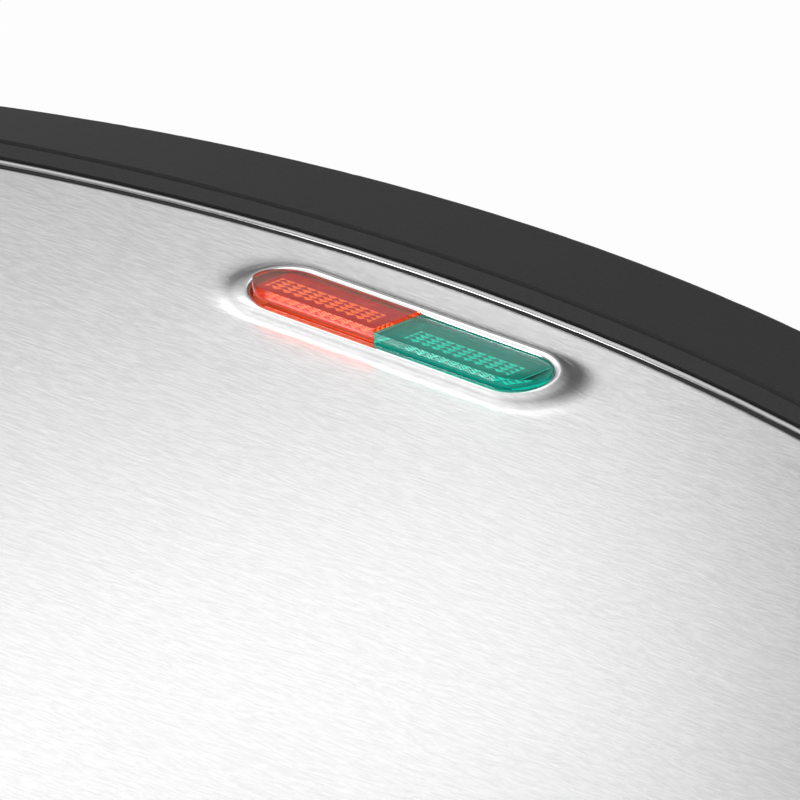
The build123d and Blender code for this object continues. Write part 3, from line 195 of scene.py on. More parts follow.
def brushed_steel():
    """Brushed stainless sheet: hair-fine grooves along X, short streaks, and a smooth rim round the window."""
    f = finish_called("brushed_skin")
    hairs = f.noise(1.0, 2.0, 0.7, f.place((420.0, 15000.0, 900.0)))
    streaks = f.noise(1.0, 4.0, 0.65, f.place((600.0, 4200.0, 300.0), (0.3, 0.1, 0.0)))
    clouds = f.noise(14.0, 2.0, 0.5)
    rim_foot, rim_top = 88.35 * MM, 88.62 * MM
    rim = f.part_of(f.place(), "Z").step(rim_foot, rim_top)
    grooves = (hairs * 0.7 + streaks * 0.5) * (1.0 - rim * 0.8)
    return f.surface(
        Base_Color=f.mix(streaks.step(0.35, 0.65), (0.84, 0.84, 0.845), (0.93, 0.93, 0.93)),
        Roughness=0.25 + (streaks - 0.5) * 0.06 + (clouds - 0.5) * 0.05 - rim * 0.08,
        Normal=f.bump(grooves, 0.00003, 0.35),
        Metallic=1.0,
    )


def polished():
    """Bright trim: nearly a mirror, with fine wiping lines."""
    f = finish_called("polished_trim")
    wipes = f.noise(1.0, 3.0, 0.6, f.place((120.0, 900.0, 120.0)))
    return f.surface(
        Base_Color=f.mix(wipes, (0.42, 0.42, 0.43), (0.55, 0.55, 0.55)),
        Roughness=0.10 + wipes * 0.1,
        Normal=f.bump(wipes, 0.000008, 0.4),
        Metallic=1.0,
    )


def clear_lens(name, tint, painted_glow):
    """Tinted clear moulding, polished, with faint flow marks. Its front and right-hand walls glow with painted
    light, though no lamp lights them.
    """
    f = finish_called(name)
    flow = f.noise(160.0, 2.0, 0.5)
    across, along = f.facing()
    # Painted glow: walls that face the front, and walls that face right, give off the glow colour
    painted_glow_mask = (0.0 - along).step(0.7, 0.98) * (0.7 + flow * 0.6) + across.step(0.95, 0.999)
    return f.surface(
        Base_Color=f.mix(flow, tint, tuple(min(1.0, part * 1.08) for part in tint)),
        Roughness=flow * 0.02,
        Normal=f.bump(flow, 0.000004, 0.1),
        IOR=1.48,
        Transmission_Weight=1.0,
        Emission_Color=f.mix(painted_glow_mask, (0.0, 0.0, 0.0), painted_glow),
        Emission_Strength=1.0,
    )


def pips_with_painted_light(name, painted_shade_colour, painted_highlight_colour, painted_glow):
    """The moulded pips under a lens, with painted light: facets that face along the window take a painted
    highlight, the others painted shade, and all glow with painted light.
    """
    f = finish_called(name)
    flow = f.noise(900.0, 2.0, 0.6)
    across, along = f.facing()
    # Painted highlight and shade: facets facing along the window take the light colour, the others the dark one
    colour = f.mix((across.size() - along.size() + flow * 0.3).step(-0.1, 0.4), painted_shade_colour, painted_highlight_colour)
    return f.surface(
        Base_Color=colour,
        Roughness=0.25 + flow * 0.2,
        Normal=f.bump(flow, 0.00003, 0.4),
        # Painted glow: the pips give off their own colour, though they are no lamp
        Emission_Color=colour,
        Emission_Strength=painted_glow,
    )


def rubbery(name, dark, light, rough):
    """Rubber or silicone: fine grain under a cloudy bloom."""
    f = finish_called(name)
    bloom = f.noise(120.0, 4.0, 0.6)
    grain = f.noise(2600.0, 2.0, 0.6)
    return f.surface(
        Base_Color=f.mix(bloom, dark, light),
        Roughness=rough + (bloom - 0.5) * 0.16,
        Normal=f.bump(grain, 0.00005, 0.6),
    )


def fired(name, dark, light, rough):
    """Fired ceramic: small specks and soft clouds."""
    f = finish_called(name)
    specks = f.noise(1500.0, 3.0, 0.7)
    clouds = f.noise(60.0, 3.0, 0.5)
    return f.surface(
        Base_Color=f.mix((specks * 0.4 + clouds * 0.6).step(0.3, 0.7), dark, light),
        Roughness=rough + (clouds - 0.5) * 0.2,
        Normal=f.bump(specks, 0.00004, 0.5),
    )


def bulb_glass():
    """Glass of the neon lamps, with a warm haze."""
    f = finish_called("lamp_glass")
    haze = f.noise(300.0, 3.0, 0.5)
    return f.surface(
        Base_Color=f.mix(haze, (0.95, 0.90, 0.84), (1.0, 0.97, 0.93)),
        Roughness=0.04 + haze * 0.06,
        Normal=f.bump(haze, 0.00001, 0.3),
        IOR=1.5,
        Transmission_Weight=0.85,
    )


def braid():
    """Yarn of the woven sleeve: dark, matte and fuzzy."""
    f = finish_called("woven_sleeve")
    yarn = f.noise(2400.0, 2.0, 0.5)
    fuzz = f.noise(500.0, 4.0, 0.7)
    return f.surface(
        Base_Color=f.mix(yarn, (0.014, 0.014, 0.015), (0.06, 0.06, 0.062)),
        Roughness=0.72 + (fuzz - 0.5) * 0.2,
        Normal=f.bump(yarn, 0.00015, 0.8),
        Sheen_Weight=0.3,
    )


def plain_name(material):
    """The name of a material without the number that Blender adds to a name in use."""
    return material.name.split(".")[0]


# Name, darkest and lightest colour, roughness, scale of the grain or of the lines, and depth
finishes = [
    moulded("housing_plastic", (0.012, 0.012, 0.013), (0.019, 0.019, 0.020), 0.62, 2600.0, 0.00005, 0.36),
    # A lighter copy of the housing plastic, painted light for the bezel's band
    moulded("bezel_plastic", (0.016, 0.016, 0.017), (0.025, 0.025, 0.026), 0.6, 2600.0, 0.00005, 0.36),
    moulded("deck_plastic", (0.018, 0.018, 0.019), (0.028, 0.028, 0.029), 0.6, 3000.0, 0.00005),
    moulded("handle_plastic", (0.018, 0.018, 0.019), (0.027, 0.027, 0.029), 0.5, 3400.0, 0.00003),
    moulded("gland_plastic", (0.016, 0.016, 0.017), (0.026, 0.026, 0.028), 0.42, 3800.0, 0.00002),
    moulded("lamp_plastic", (0.62, 0.62, 0.60), (0.72, 0.72, 0.70), 0.45, 2200.0, 0.00003),
    coated_casting(),
    sheet_metal(
        "element_tube", (0.20, 0.18, 0.17), (0.34, 0.31, 0.29), 0.48, (900.0, 900.0, 900.0), 0.00003,
        (0.20, 0.15, 0.16)),
    sheet_metal("pan_steel", (0.52, 0.52, 0.52), (0.66, 0.66, 0.66), 0.38, (40.0, 2600.0, 900.0), 0.00003),
    sheet_metal(
        "zinc_screws", (0.56, 0.56, 0.58), (0.70, 0.70, 0.72), 0.32, (1400.0, 1400.0, 300.0), 0.00002,
        (0.62, 0.60, 0.50)),
    sheet_metal("pin_steel", (0.55, 0.55, 0.57), (0.68, 0.68, 0.70), 0.26, (60.0, 3000.0, 3000.0), 0.00001),
    sheet_metal("fuse_metal", (0.52, 0.43, 0.28), (0.70, 0.60, 0.42), 0.4, (300.0, 2400.0, 2400.0), 0.00002),
    rubbery("silicone", (0.62, 0.62, 0.59), (0.74, 0.74, 0.71), 0.55),
    rubbery("black_rubber", (0.013, 0.013, 0.013), (0.026, 0.026, 0.026), 0.78),
    fired("pale_ceramic", (0.62, 0.59, 0.52), (0.76, 0.73, 0.66), 0.4),
    braid(),
    brushed_steel(),
    polished(),
    # The last colour of each lens is its painted glow
    clear_lens("red_lens", (0.95, 0.24, 0.13), (0.24, 0.026, 0.004)),
    clear_lens("green_lens", (0.13, 0.82, 0.68), (0.0, 0.06, 0.045)),
    bulb_glass(),
]
finishes = {plain_name(material): material for material in finishes}

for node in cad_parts.values():
    for slot in node.material_slots:
        slot.material = finishes[plain_name(slot.material)]
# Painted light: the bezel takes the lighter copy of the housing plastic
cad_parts["lid_bezel"].material_slots[0].material = finishes["bezel_plastic"]


# Modelling by hand

# How near counts as at a level, as touching, and as the same point
AT_LEVEL = 0.002 * MM
TOUCHING = 0.01 * MM
SAME_POINT = 0.005 * MM


def begin():
    """Leaves edit mode and selects nothing."""
    if bpy.context.object and bpy.context.object.mode == "EDIT":
        object_mode()
    bpy.ops.object.select_all(action="DESELECT")


def edit_mode():
    bpy.ops.object.mode_set(mode="EDIT")


def object_mode():
    bpy.ops.object.mode_set(mode="OBJECT")


def pick_all():
    bpy.ops.mesh.select_all(action="SELECT")


def pick(kind, test):
    """In edit mode, selects the vertices, edges or faces that pass the test, and nothing else."""
    bpy.ops.mesh.select_mode(type=kind)
    bpy.ops.mesh.select_all(action="DESELECT")
    object_mode()
    mesh = bpy.context.object.data
    if kind == "VERT":
        for item in mesh.vertices:
            item.select = test(item.co)
    elif kind == "EDGE":
        for item in mesh.edges:
            item.select = test(*(mesh.vertices[i].co for i in item.vertices))
    else:
        for item in mesh.polygons:
            item.select = test(item.center, item.normal)
    edit_mode()


def at_level(level):
    """A test for being at one height, for a single point or for both ends of an edge."""
    return lambda *points: all(abs(point.z - level) < AT_LEVEL for point in points)


def move(x=0.0, y=0.0, z=0.0):
    bpy.ops.transform.translate(value=(x, y, z))


def resize(x=1.0, y=1.0, z=1.0, centre=ORIGIN):
    bpy.ops.transform.resize(value=(x, y, z), center_override=centre)


def rotate(degrees, axis, centre=ORIGIN):
    """Turns the selection clockwise, as seen looking back along the axis from its positive end."""
    bpy.ops.transform.rotate(value=math.radians(degrees), orient_axis=axis, center_override=centre)


def extrude(step):
    bpy.ops.mesh.extrude_region_move(TRANSFORM_OT_translate={"value": step})


def turn(angle, steps, centre, axis=(0.0, 0.0, 1.0)):
    """Spins the selection on, counter-clockwise about the axis."""
    bpy.ops.mesh.spin(steps=steps, angle=-angle, center=centre, axis=axis)


def run(steps, step):
    """Extrudes the selection on in a straight line."""
    bpy.ops.mesh.extrude_repeat(steps=steps, offset=step)


def chain(points):
    """Starts a piece as a chain of edges through the points, for a spin."""
    begin()
    bpy.ops.mesh.primitive_plane_add(size=MM, location=ORIGIN)
    edit_mode()
    bpy.ops.mesh.select_mode(type="VERT")
    pick_all()
    bpy.ops.mesh.merge(type="CENTER")
    move(*points[0])
    for before, after in zip(points, points[1:]):
        extrude(tuple(b - a for a, b in zip(before, after)))
    pick_all()


def merge_near():
    bpy.ops.mesh.remove_doubles(threshold=SAME_POINT)


def close_up():
    """Merges the seam of a spun piece and points its faces outwards."""
    pick_all()
    merge_near()
    bpy.ops.mesh.normals_make_consistent(inside=False)


def shade(degrees):
    """Shades the piece smooth, but for edges sharper than the angle."""
    object_mode()
    bpy.ops.object.shade_smooth_by_angle(angle=math.radians(degrees))


def apply(kind, **settings):
    """Adds a modifier to the active piece, sets it and applies it."""
    piece = bpy.context.object
    if piece.mode == "EDIT":
        object_mode()
    modifier = piece.modifiers.new(kind.lower(), kind)
    for name, value in settings.items():
        setattr(modifier, name, value)
    bpy.ops.object.modifier_apply(modifier=modifier.name)


def named(name, body, slot, material, *stands_for):
    """Gives the finished piece its name, body and finish, and hides the nodes that it stands for. Its slot is
    not used.

    A piece that bends between two bodies has no body here.
    """
    begin()
    piece = bpy.context.view_layer.objects.active
    piece.select_set(True)
    piece.name = name
    piece.data.materials.clear()
    piece.data.materials.append(material)
    if body:
        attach(piece, body)
    if stands_for:
        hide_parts(*stands_for)
    return piece


# Brushed skin with the window's boss. The outline has bowed long sides and ends, and round corners.

BODY_Y = 14.7162 * MM
HALF_WIDTH = 104.5 * MM
HALF_DEPTH = 84.75 * MM
REAR_RADIUS = 215.0 * MM
END_RADIUS = 500.0 * MM
CORNER_X = 72.8101 * MM
CORNER_Y = 39.8196 * MM
CORNER_STEPS = 20
REAR_STEPS = 40
END_STEPS = 32

SKIN_THICKNESS = 0.2 * MM
CROWN_RADIUS = 8.0
CROWN_TOP = 88.249 * MM
FLANGE_DROP = 1.149 * MM
FLANGE_WIDTH = 2.3 * MM
FOLD_RISE = 0.1 * MM
FOLD_REACH = 0.08 * MM

WINDOW_Y = 88.95 * MM
WINDOW_LEVEL = 87.909 * MM
WINDOW_END = 13.2 * MM
WINDOW_HALF = 3.8 * MM
WINDOW_TIP = WINDOW_END + WINDOW_HALF
BOSS_HEIGHT = 0.8 * MM
BOSS_ROUND_STEPS = 64
BOSS_RUN_STEPS = 48
FLANK_START = 1.0
FLANK_STRETCH = 2.6

# Heights at which the open edges of sheet and boss wait for the fill between them
SHEET_EDGE = 0.03 * MM
BOSS_EDGE = 0.005 * MM
CUT_SPACING = 10.0 * MM
CUTS_EACH_SIDE = 10

# Outwards from the skin's edge, and up, in mm
RIM = (
    (-1.0, 0.03), (-0.54, 0.0), (-0.5, 0.0), (-0.3, -0.015), (-0.16, -0.05), (-0.05, -0.13), (0.0, -0.25))
# Outwards from the window's edge, and up from the top of the boss, in mm
BOSS = (
    (0.0, -1.2), (0.0, -0.3), (0.03, -0.17), (0.1, -0.09), (0.25, -0.025), (0.5, 0.001), (0.8, -0.02),
    (1.0, -0.06), (1.16, -0.13), (1.3, -0.23), (1.46, -0.4), (1.62, -0.55), (1.83, -0.67), (2.1, -0.75),
    (2.4, -0.79), (2.8, -0.8))


def bowed_outline():
    """Spins the selected profile, which stands at the right end, once round the bowed outline."""
    end_angle = math.atan2(CORNER_Y, CORNER_X - HALF_WIDTH + END_RADIUS)
    rear_angle = math.atan2(CORNER_Y - HALF_DEPTH + REAR_RADIUS, CORNER_X)
    corner_turn = rear_angle - end_angle
    rear_turn = math.pi - 2.0 * rear_angle
    end_x = HALF_WIDTH - END_RADIUS
    rear_y = HALF_DEPTH - REAR_RADIUS
    turn(end_angle, END_STEPS // 2, (end_x, 0.0, 0.0))
    turn(corner_turn, CORNER_STEPS, (CORNER_X, CORNER_Y, 0.0))
    turn(rear_turn, REAR_STEPS, (0.0, rear_y, 0.0))
    turn(corner_turn, CORNER_STEPS, (-CORNER_X, CORNER_Y, 0.0))
    turn(2.0 * end_angle, END_STEPS, (-end_x, 0.0, 0.0))
    turn(corner_turn, CORNER_STEPS, (-CORNER_X, -CORNER_Y, 0.0))
    turn(rear_turn, REAR_STEPS, (0.0, -rear_y, 0.0))
    turn(corner_turn, CORNER_STEPS, (CORNER_X, -CORNER_Y, 0.0))
    turn(end_angle, END_STEPS // 2, (end_x, 0.0, 0.0))


def obround(y, half_run, round_steps, run_steps):
    """Spins the selected profile, which stands at the right tip, once round an obround."""
    step = 2.0 * half_run / run_steps
    turn(math.pi / 2.0, round_steps // 2, (half_run, y, 0.0))
    run(run_steps, (-step, 0.0, 0.0))
    turn(math.pi, round_steps, (-half_run, y, 0.0))
    run(run_steps, (step, 0.0, 0.0))
    turn(math.pi / 2.0, round_steps // 2, (half_run, y, 0.0))


def skin_sheet():
    """The edge of the skin, drawn flat over the middle of the body: rim, wall, and flange at its foot."""
    edge = [(x * MM, z * MM) for x, z in RIM]
    edge += [(0.0, FOLD_RISE - FLANGE_DROP), (FOLD_REACH, -FLANGE_DROP), (FLANGE_WIDTH, -FLANGE_DROP)]
    chain([(HALF_WIDTH + x, 0.0, z) for x, z in edge])
    bowed_outline()
    close_up()
    begin()
    return bpy.context.object


def window_boss():
    """The boss round the window, whose flanks run out longer at its two ends."""
    window_y = WINDOW_Y - BODY_Y
    chain([(WINDOW_TIP + x * MM, window_y, BOSS_HEIGHT + z * MM) for x, z in BOSS])
    obround(window_y, WINDOW_END, BOSS_ROUND_STEPS, BOSS_RUN_STEPS)
    close_up()
    for x, z in BOSS:
        if x >= FLANK_START:
            reach = FLANK_START + FLANK_STRETCH * (x - FLANK_START)
            pick("VERT", at_level(BOSS_HEIGHT + z * MM))
            resize(x=(WINDOW_TIP + reach * MM) / (WINDOW_TIP + x * MM))
    pick("VERT", at_level(0.0))
    move(z=BOSS_EDGE)
    begin()
    return bpy.context.object


def fill_between():
    """Fills the sheet between its edge and the boss with one flat face, then cuts that into a grid."""
    pick("EDGE", lambda *ends: at_level(SHEET_EDGE)(*ends) or at_level(BOSS_EDGE)(*ends))
    resize(z=0.0)
    bpy.ops.mesh.fill()
    for cut in range(-CUTS_EACH_SIDE, CUTS_EACH_SIDE + 1):
        for direction in ((1.0, 0.0, 0.0), (0.0, 1.0, 0.0)):
            pick("FACE", lambda centre, normal: at_level(0.0)(centre))
            at = tuple(cut * CUT_SPACING * part for part in direction)
            bpy.ops.mesh.bisect(plane_co=at, plane_no=direction)


def crown():
    """Bows the flat skin down, along its depth and then along its width, all but its flange."""
    pick("VERT", lambda p: p.z < -1.0 * MM)
    bpy.ops.object.vertex_group_add()
    bpy.ops.object.vertex_group_assign()
    for quarter, half_span in ((90.0, HALF_DEPTH), (-90.0, HALF_WIDTH)):
        edit_mode()
        pick_all()
        rotate(quarter, "Z")
        rotate(-90.0, "X")
        apply(
            "SIMPLE_DEFORM", deform_method="BEND", deform_axis="Z",
            angle=2.0 * (half_span + FLANGE_WIDTH) / CROWN_RADIUS,
            vertex_group="Group", invert_vertex_group=True)
        edit_mode()
        pick_all()
        rotate(90.0, "X")


sheet = skin_sheet()
boss = window_boss()
sheet.select_set(True)
boss.select_set(True)
bpy.context.view_layer.objects.active = sheet
bpy.ops.object.join()
edit_mode()
fill_between()
crown()
pick_all()
bpy.ops.mesh.normals_make_consistent(inside=True)
move(0.0, BODY_Y, CROWN_TOP)
apply("SOLIDIFY", thickness=SKIN_THICKNESS, offset=-1.0)
bpy.ops.object.shade_smooth()
named("brushed_skin_panel", "lid", "brushed_skin", finishes["brushed_skin"], "lid_skin")


# Black strip in the gap round the skin, painted shade for the dark gap: outwards from the skin's edge, and up,
# in mm

GAP_SHADE_PROFILE = ((0.02, -0.9), (0.02, -0.62), (0.1, -0.55), (0.35, -0.55), (0.43, -0.62), (0.43, -0.9), (0.02, -0.9))

chain([(HALF_WIDTH + x * MM, 0.0, z * MM) for x, z in GAP_SHADE_PROFILE])
bowed_outline()
close_up()
move(0.0, BODY_Y, CROWN_TOP)
shade(40.0)
# The strip is painted shade in the gap, not a part of the machine
named("edge_seal", "lid", "black_rubber", finishes["black_rubber"])


# Lenses

LENS_END = 13.15 * MM
LENS_HALF = 3.65 * MM
LENS_SLOPE = 11.8
LENS_SIDES = 96
LENS_ROUNDING = 0.2 * MM
LENS_ROUNDING_STEPS = 4
LENS_SUNK = 1.1 * MM
LENS_FLANGE = 1.1 * MM
FLANGE_THICKNESS = 1.0 * MM
PAST_JOINT = 16.0 * MM
JOINT_X = -0.7 * MM
JOINT_GAP = 0.05 * MM
RED_TOP = 90.16 * MM
GREEN_TOP = 89.76 * MM
NEAR_TOP = 0.02 * MM


def lens(name, side, top, node):
    """A clear obround moulding with a hidden flange, whose top falls to the rear, square at the joint."""
    bottom = WINDOW_LEVEL - LENS_SUNK
    joint = JOINT_X + side * JOINT_GAP
    front = WINDOW_Y - LENS_HALF
    fall = math.tan(math.radians(LENS_SLOPE))
    begin()
    bpy.ops.mesh.primitive_cylinder_add(
        vertices=LENS_SIDES, radius=LENS_HALF + LENS_FLANGE, depth=FLANGE_THICKNESS, location=ORIGIN)
    edit_mode()
    move(side * LENS_END, WINDOW_Y, bottom + FLANGE_THICKNESS / 2.0)
    # Half of the disc goes past the joint, and is cut off there
    pick("VERT", lambda p: (p.x - side * LENS_END) * side < TOUCHING)
    move(x=-side * PAST_JOINT)
    pick_all()
    bpy.ops.mesh.bisect(
        plane_co=(joint, 0.0, 0.0), plane_no=(-side, 0.0, 0.0), clear_outer=True, use_fill=True)
    # The lens stands up within the flange, but reaches the joint in full
    pick("FACE", lambda centre, normal: normal.z > 0.9)
    bpy.ops.mesh.inset(thickness=LENS_FLANGE)
    extrude((0.0, 0.0, top - bottom - FLANGE_THICKNESS))
    foot = bottom + 0.9 * FLANGE_THICKNESS
    pick("VERT", lambda p: abs(p.x - JOINT_X) < LENS_FLANGE + 0.1 * MM and p.z > foot)
    resize(x=0.0, centre=(joint, 0.0, 0.0))
    pick_all()
    merge_near()
    # The top falls from its front edge and is rounded all round
    pick("VERT", lambda p: p.z > top - NEAR_TOP)
    rotate(LENS_SLOPE, "X", (0.0, front, top))
    resize(y=1.0 / math.cos(math.radians(LENS_SLOPE)), centre=(0.0, front, top))
    pick("EDGE", lambda *ends: all(abs(p.z - top + (p.y - front) * fall) < NEAR_TOP for p in ends))
    bpy.ops.mesh.bevel(
        offset=LENS_ROUNDING, segments=LENS_ROUNDING_STEPS, affect="EDGES", clamp_overlap=True)
    pick_all()
    bpy.ops.mesh.normals_make_consistent(inside=False)
    shade(28.0)
    named(name, "lid", node, finishes[node], node)


lens("red_signal_lens", -1.0, RED_TOP, "red_lens")
lens("green_signal_lens", 1.0, GREEN_TOP, "green_lens")


# Pips under the lenses: a sheet of cells, of which the outermost are a plain margin

PIP_COLUMNS = 12
PIP_ROWS = 6
PIP_LENGTH = 1.23 * MM
PIP_WIDTH = 0.78 * MM
PIP_HEIGHT = 0.32 * MM
PIP_GAP = 0.03 * MM
PIPS_THICKNESS = 0.25 * MM
MARGIN_X = (PIP_COLUMNS / 2.0 - 1.0) * PIP_LENGTH
MARGIN_Y = (PIP_ROWS / 2.0 - 1.0) * PIP_WIDTH
MARGIN_SQUEEZE = 0.894
MARGIN_REAR = 1.06 * MM
MARGIN_FRONT = 0.26 * MM
PIPS_FORWARD = 0.55 * MM
PIPS_BELOW_TOP = 1.7 * MM


def pips(name, middle, top, left, right, material, slot):
    """Four rows of moulded pyramids, ten to a row, close under the falling top of a lens."""
    begin()
    bpy.ops.mesh.primitive_grid_add(
        x_subdivisions=PIP_COLUMNS, y_subdivisions=PIP_ROWS, size=1.0, location=ORIGIN)
    edit_mode()
    resize(PIP_COLUMNS * PIP_LENGTH, PIP_ROWS * PIP_WIDTH)
    pick("FACE", lambda centre, normal: abs(centre.x) < MARGIN_X and abs(centre.y) < MARGIN_Y)
    bpy.ops.mesh.inset(thickness=PIP_GAP, use_individual=True)
    bpy.ops.mesh.poke(offset=PIP_HEIGHT)
    # The outer edge of the margin is drawn in, then out to the walls of the lens
    past_x, past_y = MARGIN_X + 0.15 * MM, MARGIN_Y + 0.14 * MM
    pick("VERT", lambda p: abs(p.x) > past_x)
    resize(x=MARGIN_SQUEEZE)
    pick("VERT", lambda p: p.x < -past_x)
    move(x=-left)
    pick("VERT", lambda p: p.x > past_x)
    move(x=right)
    pick("VERT", lambda p: p.y > past_y)
    move(y=MARGIN_REAR)
    pick("VERT", lambda p: p.y < -past_y)
    move(y=-MARGIN_FRONT)
    pick_all()
    rotate(LENS_SLOPE, "X")
    move(middle, WINDOW_Y - PIPS_FORWARD, top - PIPS_BELOW_TOP)
    apply("SOLIDIFY", thickness=PIPS_THICKNESS, offset=-1.0)
    named(name, "lid", slot, material)


# Dark and light facet colours are painted shade and painted highlight; the last number is the strength of a
# painted glow
red_pips = pips_with_painted_light("red_pips", (0.38, 0.012, 0.006), (1.0, 0.44, 0.13), 0.55)
green_pips = pips_with_painted_light("green_pips", (0.0, 0.20, 0.17), (0.02, 0.74, 0.60), 0.5)
pips("red_lens_pips", -8.65 * MM, RED_TOP, 0.0, 1.2 * MM, red_pips, "red_lens")
pips("green_lens_pips", 7.65 * MM, GREEN_TOP, 1.4 * MM, 0.9 * MM, green_pips, "green_lens")


# Woven sleeve over the hinge: out of the base, round a bend, up, round a second bend and into the lid

SLEEVE_RADIUS = 2.84 * MM
SLEEVE_START = 110.716 * MM
SLEEVE_TURN = 124.216 * MM
SLEEVE_LOW = 33.0 * MM
SLEEVE_HIGH = 60.0 * MM
SLEEVE_BEND = 11.5 * MM
END_REACH = 4.0 * MM
RISE_LOW = SLEEVE_LOW + SLEEVE_BEND
RISE_HIGH = SLEEVE_HIGH - SLEEVE_BEND
STRANDS = 24
STRAND_GAP = 0.1 * MM
STRAND_PROUD = 0.14 * MM
RUN_RINGS = 9
BEND_RINGS = 12
RISE_RINGS = 3
ALL_RINGS = 2 * (RUN_RINGS + BEND_RINGS) + RISE_RINGS


def weave_cell(centre):
    """Ring along the sleeve plus strand round it, for a face of the sleeve."""
    below = centre.z < RISE_LOW
    past = centre.y - SLEEVE_TURN
    if past > 0.0 and RISE_LOW < centre.z < RISE_HIGH:
        ring = RUN_RINGS + BEND_RINGS + (centre.z - RISE_LOW) / (RISE_HIGH - RISE_LOW) * RISE_RINGS
        outward = past - SLEEVE_BEND
    elif past > 0.0:
        fall = RISE_LOW - centre.z if below else centre.z - RISE_HIGH
        outward = math.hypot(past, fall) - SLEEVE_BEND
        bent = math.atan2(past, fall) / (math.pi / 2.0) * BEND_RINGS
        ring = RUN_RINGS + bent if below else ALL_RINGS - RUN_RINGS - bent
    else:
        along = (centre.y - SLEEVE_START) / (SLEEVE_TURN - SLEEVE_START) * RUN_RINGS
        outward = SLEEVE_LOW - centre.z if below else centre.z - SLEEVE_HIGH
        ring = along if below else ALL_RINGS - along
    strand = (math.atan2(centre.x, outward) % math.tau) / math.tau * STRANDS
    return int(ring) + int(strand)


def at_end(height):
    """A test for the edges of the sleeve's open end round a height."""
    return lambda *ends: all(
        abs(p.y - SLEEVE_START) < TOUCHING and abs(p.z - height) < END_REACH for p in ends)


begin()
bpy.ops.mesh.primitive_circle_add(vertices=STRANDS, radius=SLEEVE_RADIUS, location=ORIGIN)
edit_mode()
pick_all()
rotate(90.0, "X")
move(0.0, SLEEVE_START, SLEEVE_LOW)
run_step = (SLEEVE_TURN - SLEEVE_START) / RUN_RINGS
rise_step = (RISE_HIGH - RISE_LOW) / RISE_RINGS
run(RUN_RINGS, (0.0, run_step, 0.0))
turn(math.pi / 2.0, BEND_RINGS, (0.0, SLEEVE_TURN, RISE_LOW), (1.0, 0.0, 0.0))
run(RISE_RINGS, (0.0, 0.0, rise_step))
turn(math.pi / 2.0, BEND_RINGS, (0.0, SLEEVE_TURN, RISE_HIGH), (1.0, 0.0, 0.0))
run(RUN_RINGS, (0.0, -run_step, 0.0))
for height in (SLEEVE_LOW, SLEEVE_HIGH):
    pick("EDGE", at_end(height))
    bpy.ops.mesh.edge_face_add()
close_up()
# Every other cell stands proud, as the strands of a weave do
pick("FACE", lambda centre, normal: abs(normal.y) < 0.99 and weave_cell(centre) % 2 == 0)
bpy.ops.mesh.inset(thickness=STRAND_GAP, depth=STRAND_PROUD, use_individual=True)
shade(35.0)
sleeve = named("woven_lead_sleeve", None, "woven_sleeve", finishes["woven_sleeve"], "hinge_cable_sleeve")
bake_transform(sleeve)


# Stage: a pale floor, mostly plain white to the camera, and in part to metal and glass

WHITE = (1.0, 1.0, 1.0)
FLOOR_SIZE = 6.0
FLOOR_LEVEL = -0.3 * MM
WHITE_TO_CAMERA = 0.9
WHITE_TO_MIRRORS = 0.6

begin()
bpy.ops.mesh.primitive_plane_add(size=FLOOR_SIZE, location=(0.0, 0.0, FLOOR_LEVEL))
floor = bpy.context.object
floor.name = "floor"
pale = finish_called("pale_floor")
paper = pale.mix(pale.noise(3.0, 2.0, 0.5), (0.86, 0.86, 0.86), (0.88, 0.88, 0.88))
matte = pale.add("ShaderNodeBsdfDiffuse", None, {"Color": paper})
plain = pale.add("ShaderNodeEmission", None, {"Color": WHITE, "Strength": 1.0})
seen = pale.add("ShaderNodeLightPath", out="Is Camera Ray") * WHITE_TO_CAMERA
seen = seen + pale.add("ShaderNodeLightPath", out="Is Glossy Ray") * WHITE_TO_MIRRORS
pale.end(pale.add("ShaderNodeMixShader", None, {0: seen, 1: matte, 2: plain}))
floor.data.materials.append(pale.owner)


# World: white to the camera and through clear pieces, plain grey on the object, soft patches in reflections

AMBIENT = 0.55
DARK_ROOM = 0.10
FLOOR_SHINE = 0.5
# Direction, inner and outer angle in degrees, and strength
PATCHES = (
    ((-0.60, 0.10, 0.80), 12.0, 53.0, 0.85),   # high on the left
    ((0.55, -0.75, 0.30), 20.0, 70.0, 0.5),    # broad, low at the front right
    ((-0.506, -0.834, 0.22), 5.0, 13.0, 8.0),  # small and bright, low at the front left
    ((-0.55, 0.79, 0.25), 2.0, 8.0, 0.5),      # small, low at the rear left
    ((-0.50, -0.45, 0.74), 12.0, 32.0, 0.2),   # faint, high at the front left
)

studio = bpy.data.worlds.new("studio")
bpy.context.scene.world = studio
sky = Finish(studio)
ray = sky.add("ShaderNodeTexCoord", out="Generated")


def toward(direction, inner, outer):
    """1 inside the inner angle round a direction, 0 outside the outer one."""
    sockets = {0: ray, 1: tuple(Vector(direction).normalized())}
    near = sky.add("ShaderNodeVectorMath", {"operation": "DOT_PRODUCT"}, sockets, out="Value")
    return near.step(math.cos(math.radians(outer)), math.cos(math.radians(inner)))


reflected = DARK_ROOM + (0.0 - sky.part_of(ray, "Z")).step(0.0, 0.3) * FLOOR_SHINE
for direction, inner, outer, strength in PATCHES:
    reflected = reflected + toward(direction, inner, outer) * strength
camera_ray = sky.add("ShaderNodeLightPath", out="Is Camera Ray")
glossy_ray = sky.add("ShaderNodeLightPath", out="Is Glossy Ray")
clear_ray = sky.add("ShaderNodeLightPath", out="Is Transmission Ray")
unseen = glossy_ray * reflected + (1.0 - glossy_ray) * (clear_ray + (1.0 - clear_ray) * AMBIENT)
light = camera_ray + (1.0 - camera_ray) * unseen
sky.end(
    sky.add("ShaderNodeBackground", None, {"Color": WHITE, "Strength": light}), "ShaderNodeOutputWorld")


# Lamps

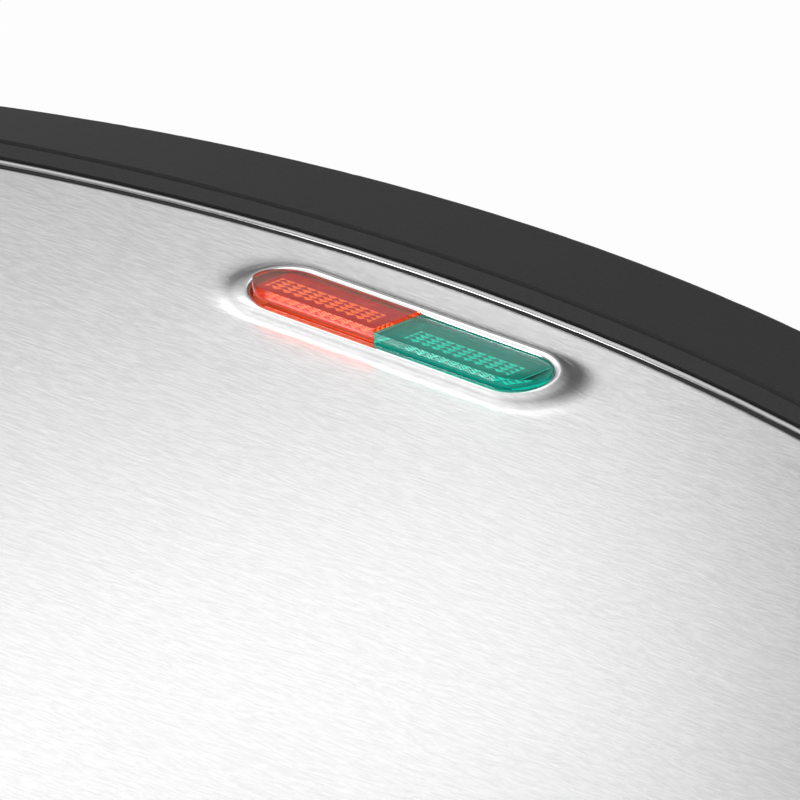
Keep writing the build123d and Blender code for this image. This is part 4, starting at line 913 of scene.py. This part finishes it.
def softbox(name, place, aim, width, height, power, roll=0.0, mirrored=False):
    """An area lamp. A mirrored one is seen in metal and glass as well."""
    begin()
    bpy.ops.object.light_add(type="AREA", location=place)
    lamp = bpy.context.object
    lamp.name = name
    lamp.data.shape = "RECTANGLE"
    lamp.data.size = width
    lamp.data.size_y = height
    lamp.data.energy = power
    facing = (Vector(aim) - Vector(place)).to_track_quat("-Z", "Y")
    rolled = facing @ Quaternion((0.0, 0.0, 1.0), math.radians(roll))
    lamp.rotation_euler = rolled.to_euler()
    lamp.visible_glossy = mirrored
    lamp.visible_camera = False


middle = (0.0, 0.0, 50.0 * MM)
softbox("key", (-0.9, -0.5, 1.3), middle, 1.0, 1.0, 14.0)
softbox("fill", (1.1, -0.9, 0.9), middle, 0.9, 0.9, 5.0)

# The card hangs where the camera sees it mirrored in the rear of the panel
CARD_AWAY = 0.26
CARD_UP = 0.060
CARD_LEFT = 0.05
panel_edge = Vector((0.0, 0.099, 0.088))
gleam = Vector((-0.506, 0.704, 0.499))
upward = Vector((0.29, -0.404, 0.866))
leftward = Vector((-0.812, -0.583, 0.0))
card_place = panel_edge + gleam * CARD_AWAY + upward * CARD_UP + leftward * CARD_LEFT
softbox("card", card_place, card_place - gleam, 0.17, 0.076, 0.0385, 15.0, True)


# Camera

AZIMUTH = math.radians(35.7)
ELEVATION = math.radians(29.93)
DISTANCE = 2.0
SENSOR = 36.0
PICTURE_PIXELS = 800.0
PIXELS_PER_MM = 10.47
PICTURE_WIDTH = PICTURE_PIXELS / PIXELS_PER_MM * MM
WINDOW_TOP = (0.0, 88.416 * MM, 88.709 * MM)
AIM_RIGHT = 0.143 * MM
AIM_DOWN = 6.59 * MM

right = Vector((math.cos(AZIMUTH), math.sin(AZIMUTH), 0.0))
level_ahead = Vector((-math.sin(AZIMUTH), math.cos(AZIMUTH), 0.0))
ahead = level_ahead * math.cos(ELEVATION) - Vector((0.0, 0.0, math.sin(ELEVATION)))
up = right.cross(ahead)
aim = Vector(WINDOW_TOP) + right * AIM_RIGHT - up * AIM_DOWN
begin()
bpy.ops.object.camera_add(location=aim - ahead * DISTANCE)
camera = bpy.context.object
camera.rotation_euler = ahead.to_track_quat("-Z", "Y").to_euler()
camera.data.sensor_width = SENSOR
camera.data.lens = SENSOR * DISTANCE / PICTURE_WIDTH
camera.data.clip_end = 20.0
bpy.context.scene.camera = camera
bpy.context.scene.view_settings.view_transform = "Standard"
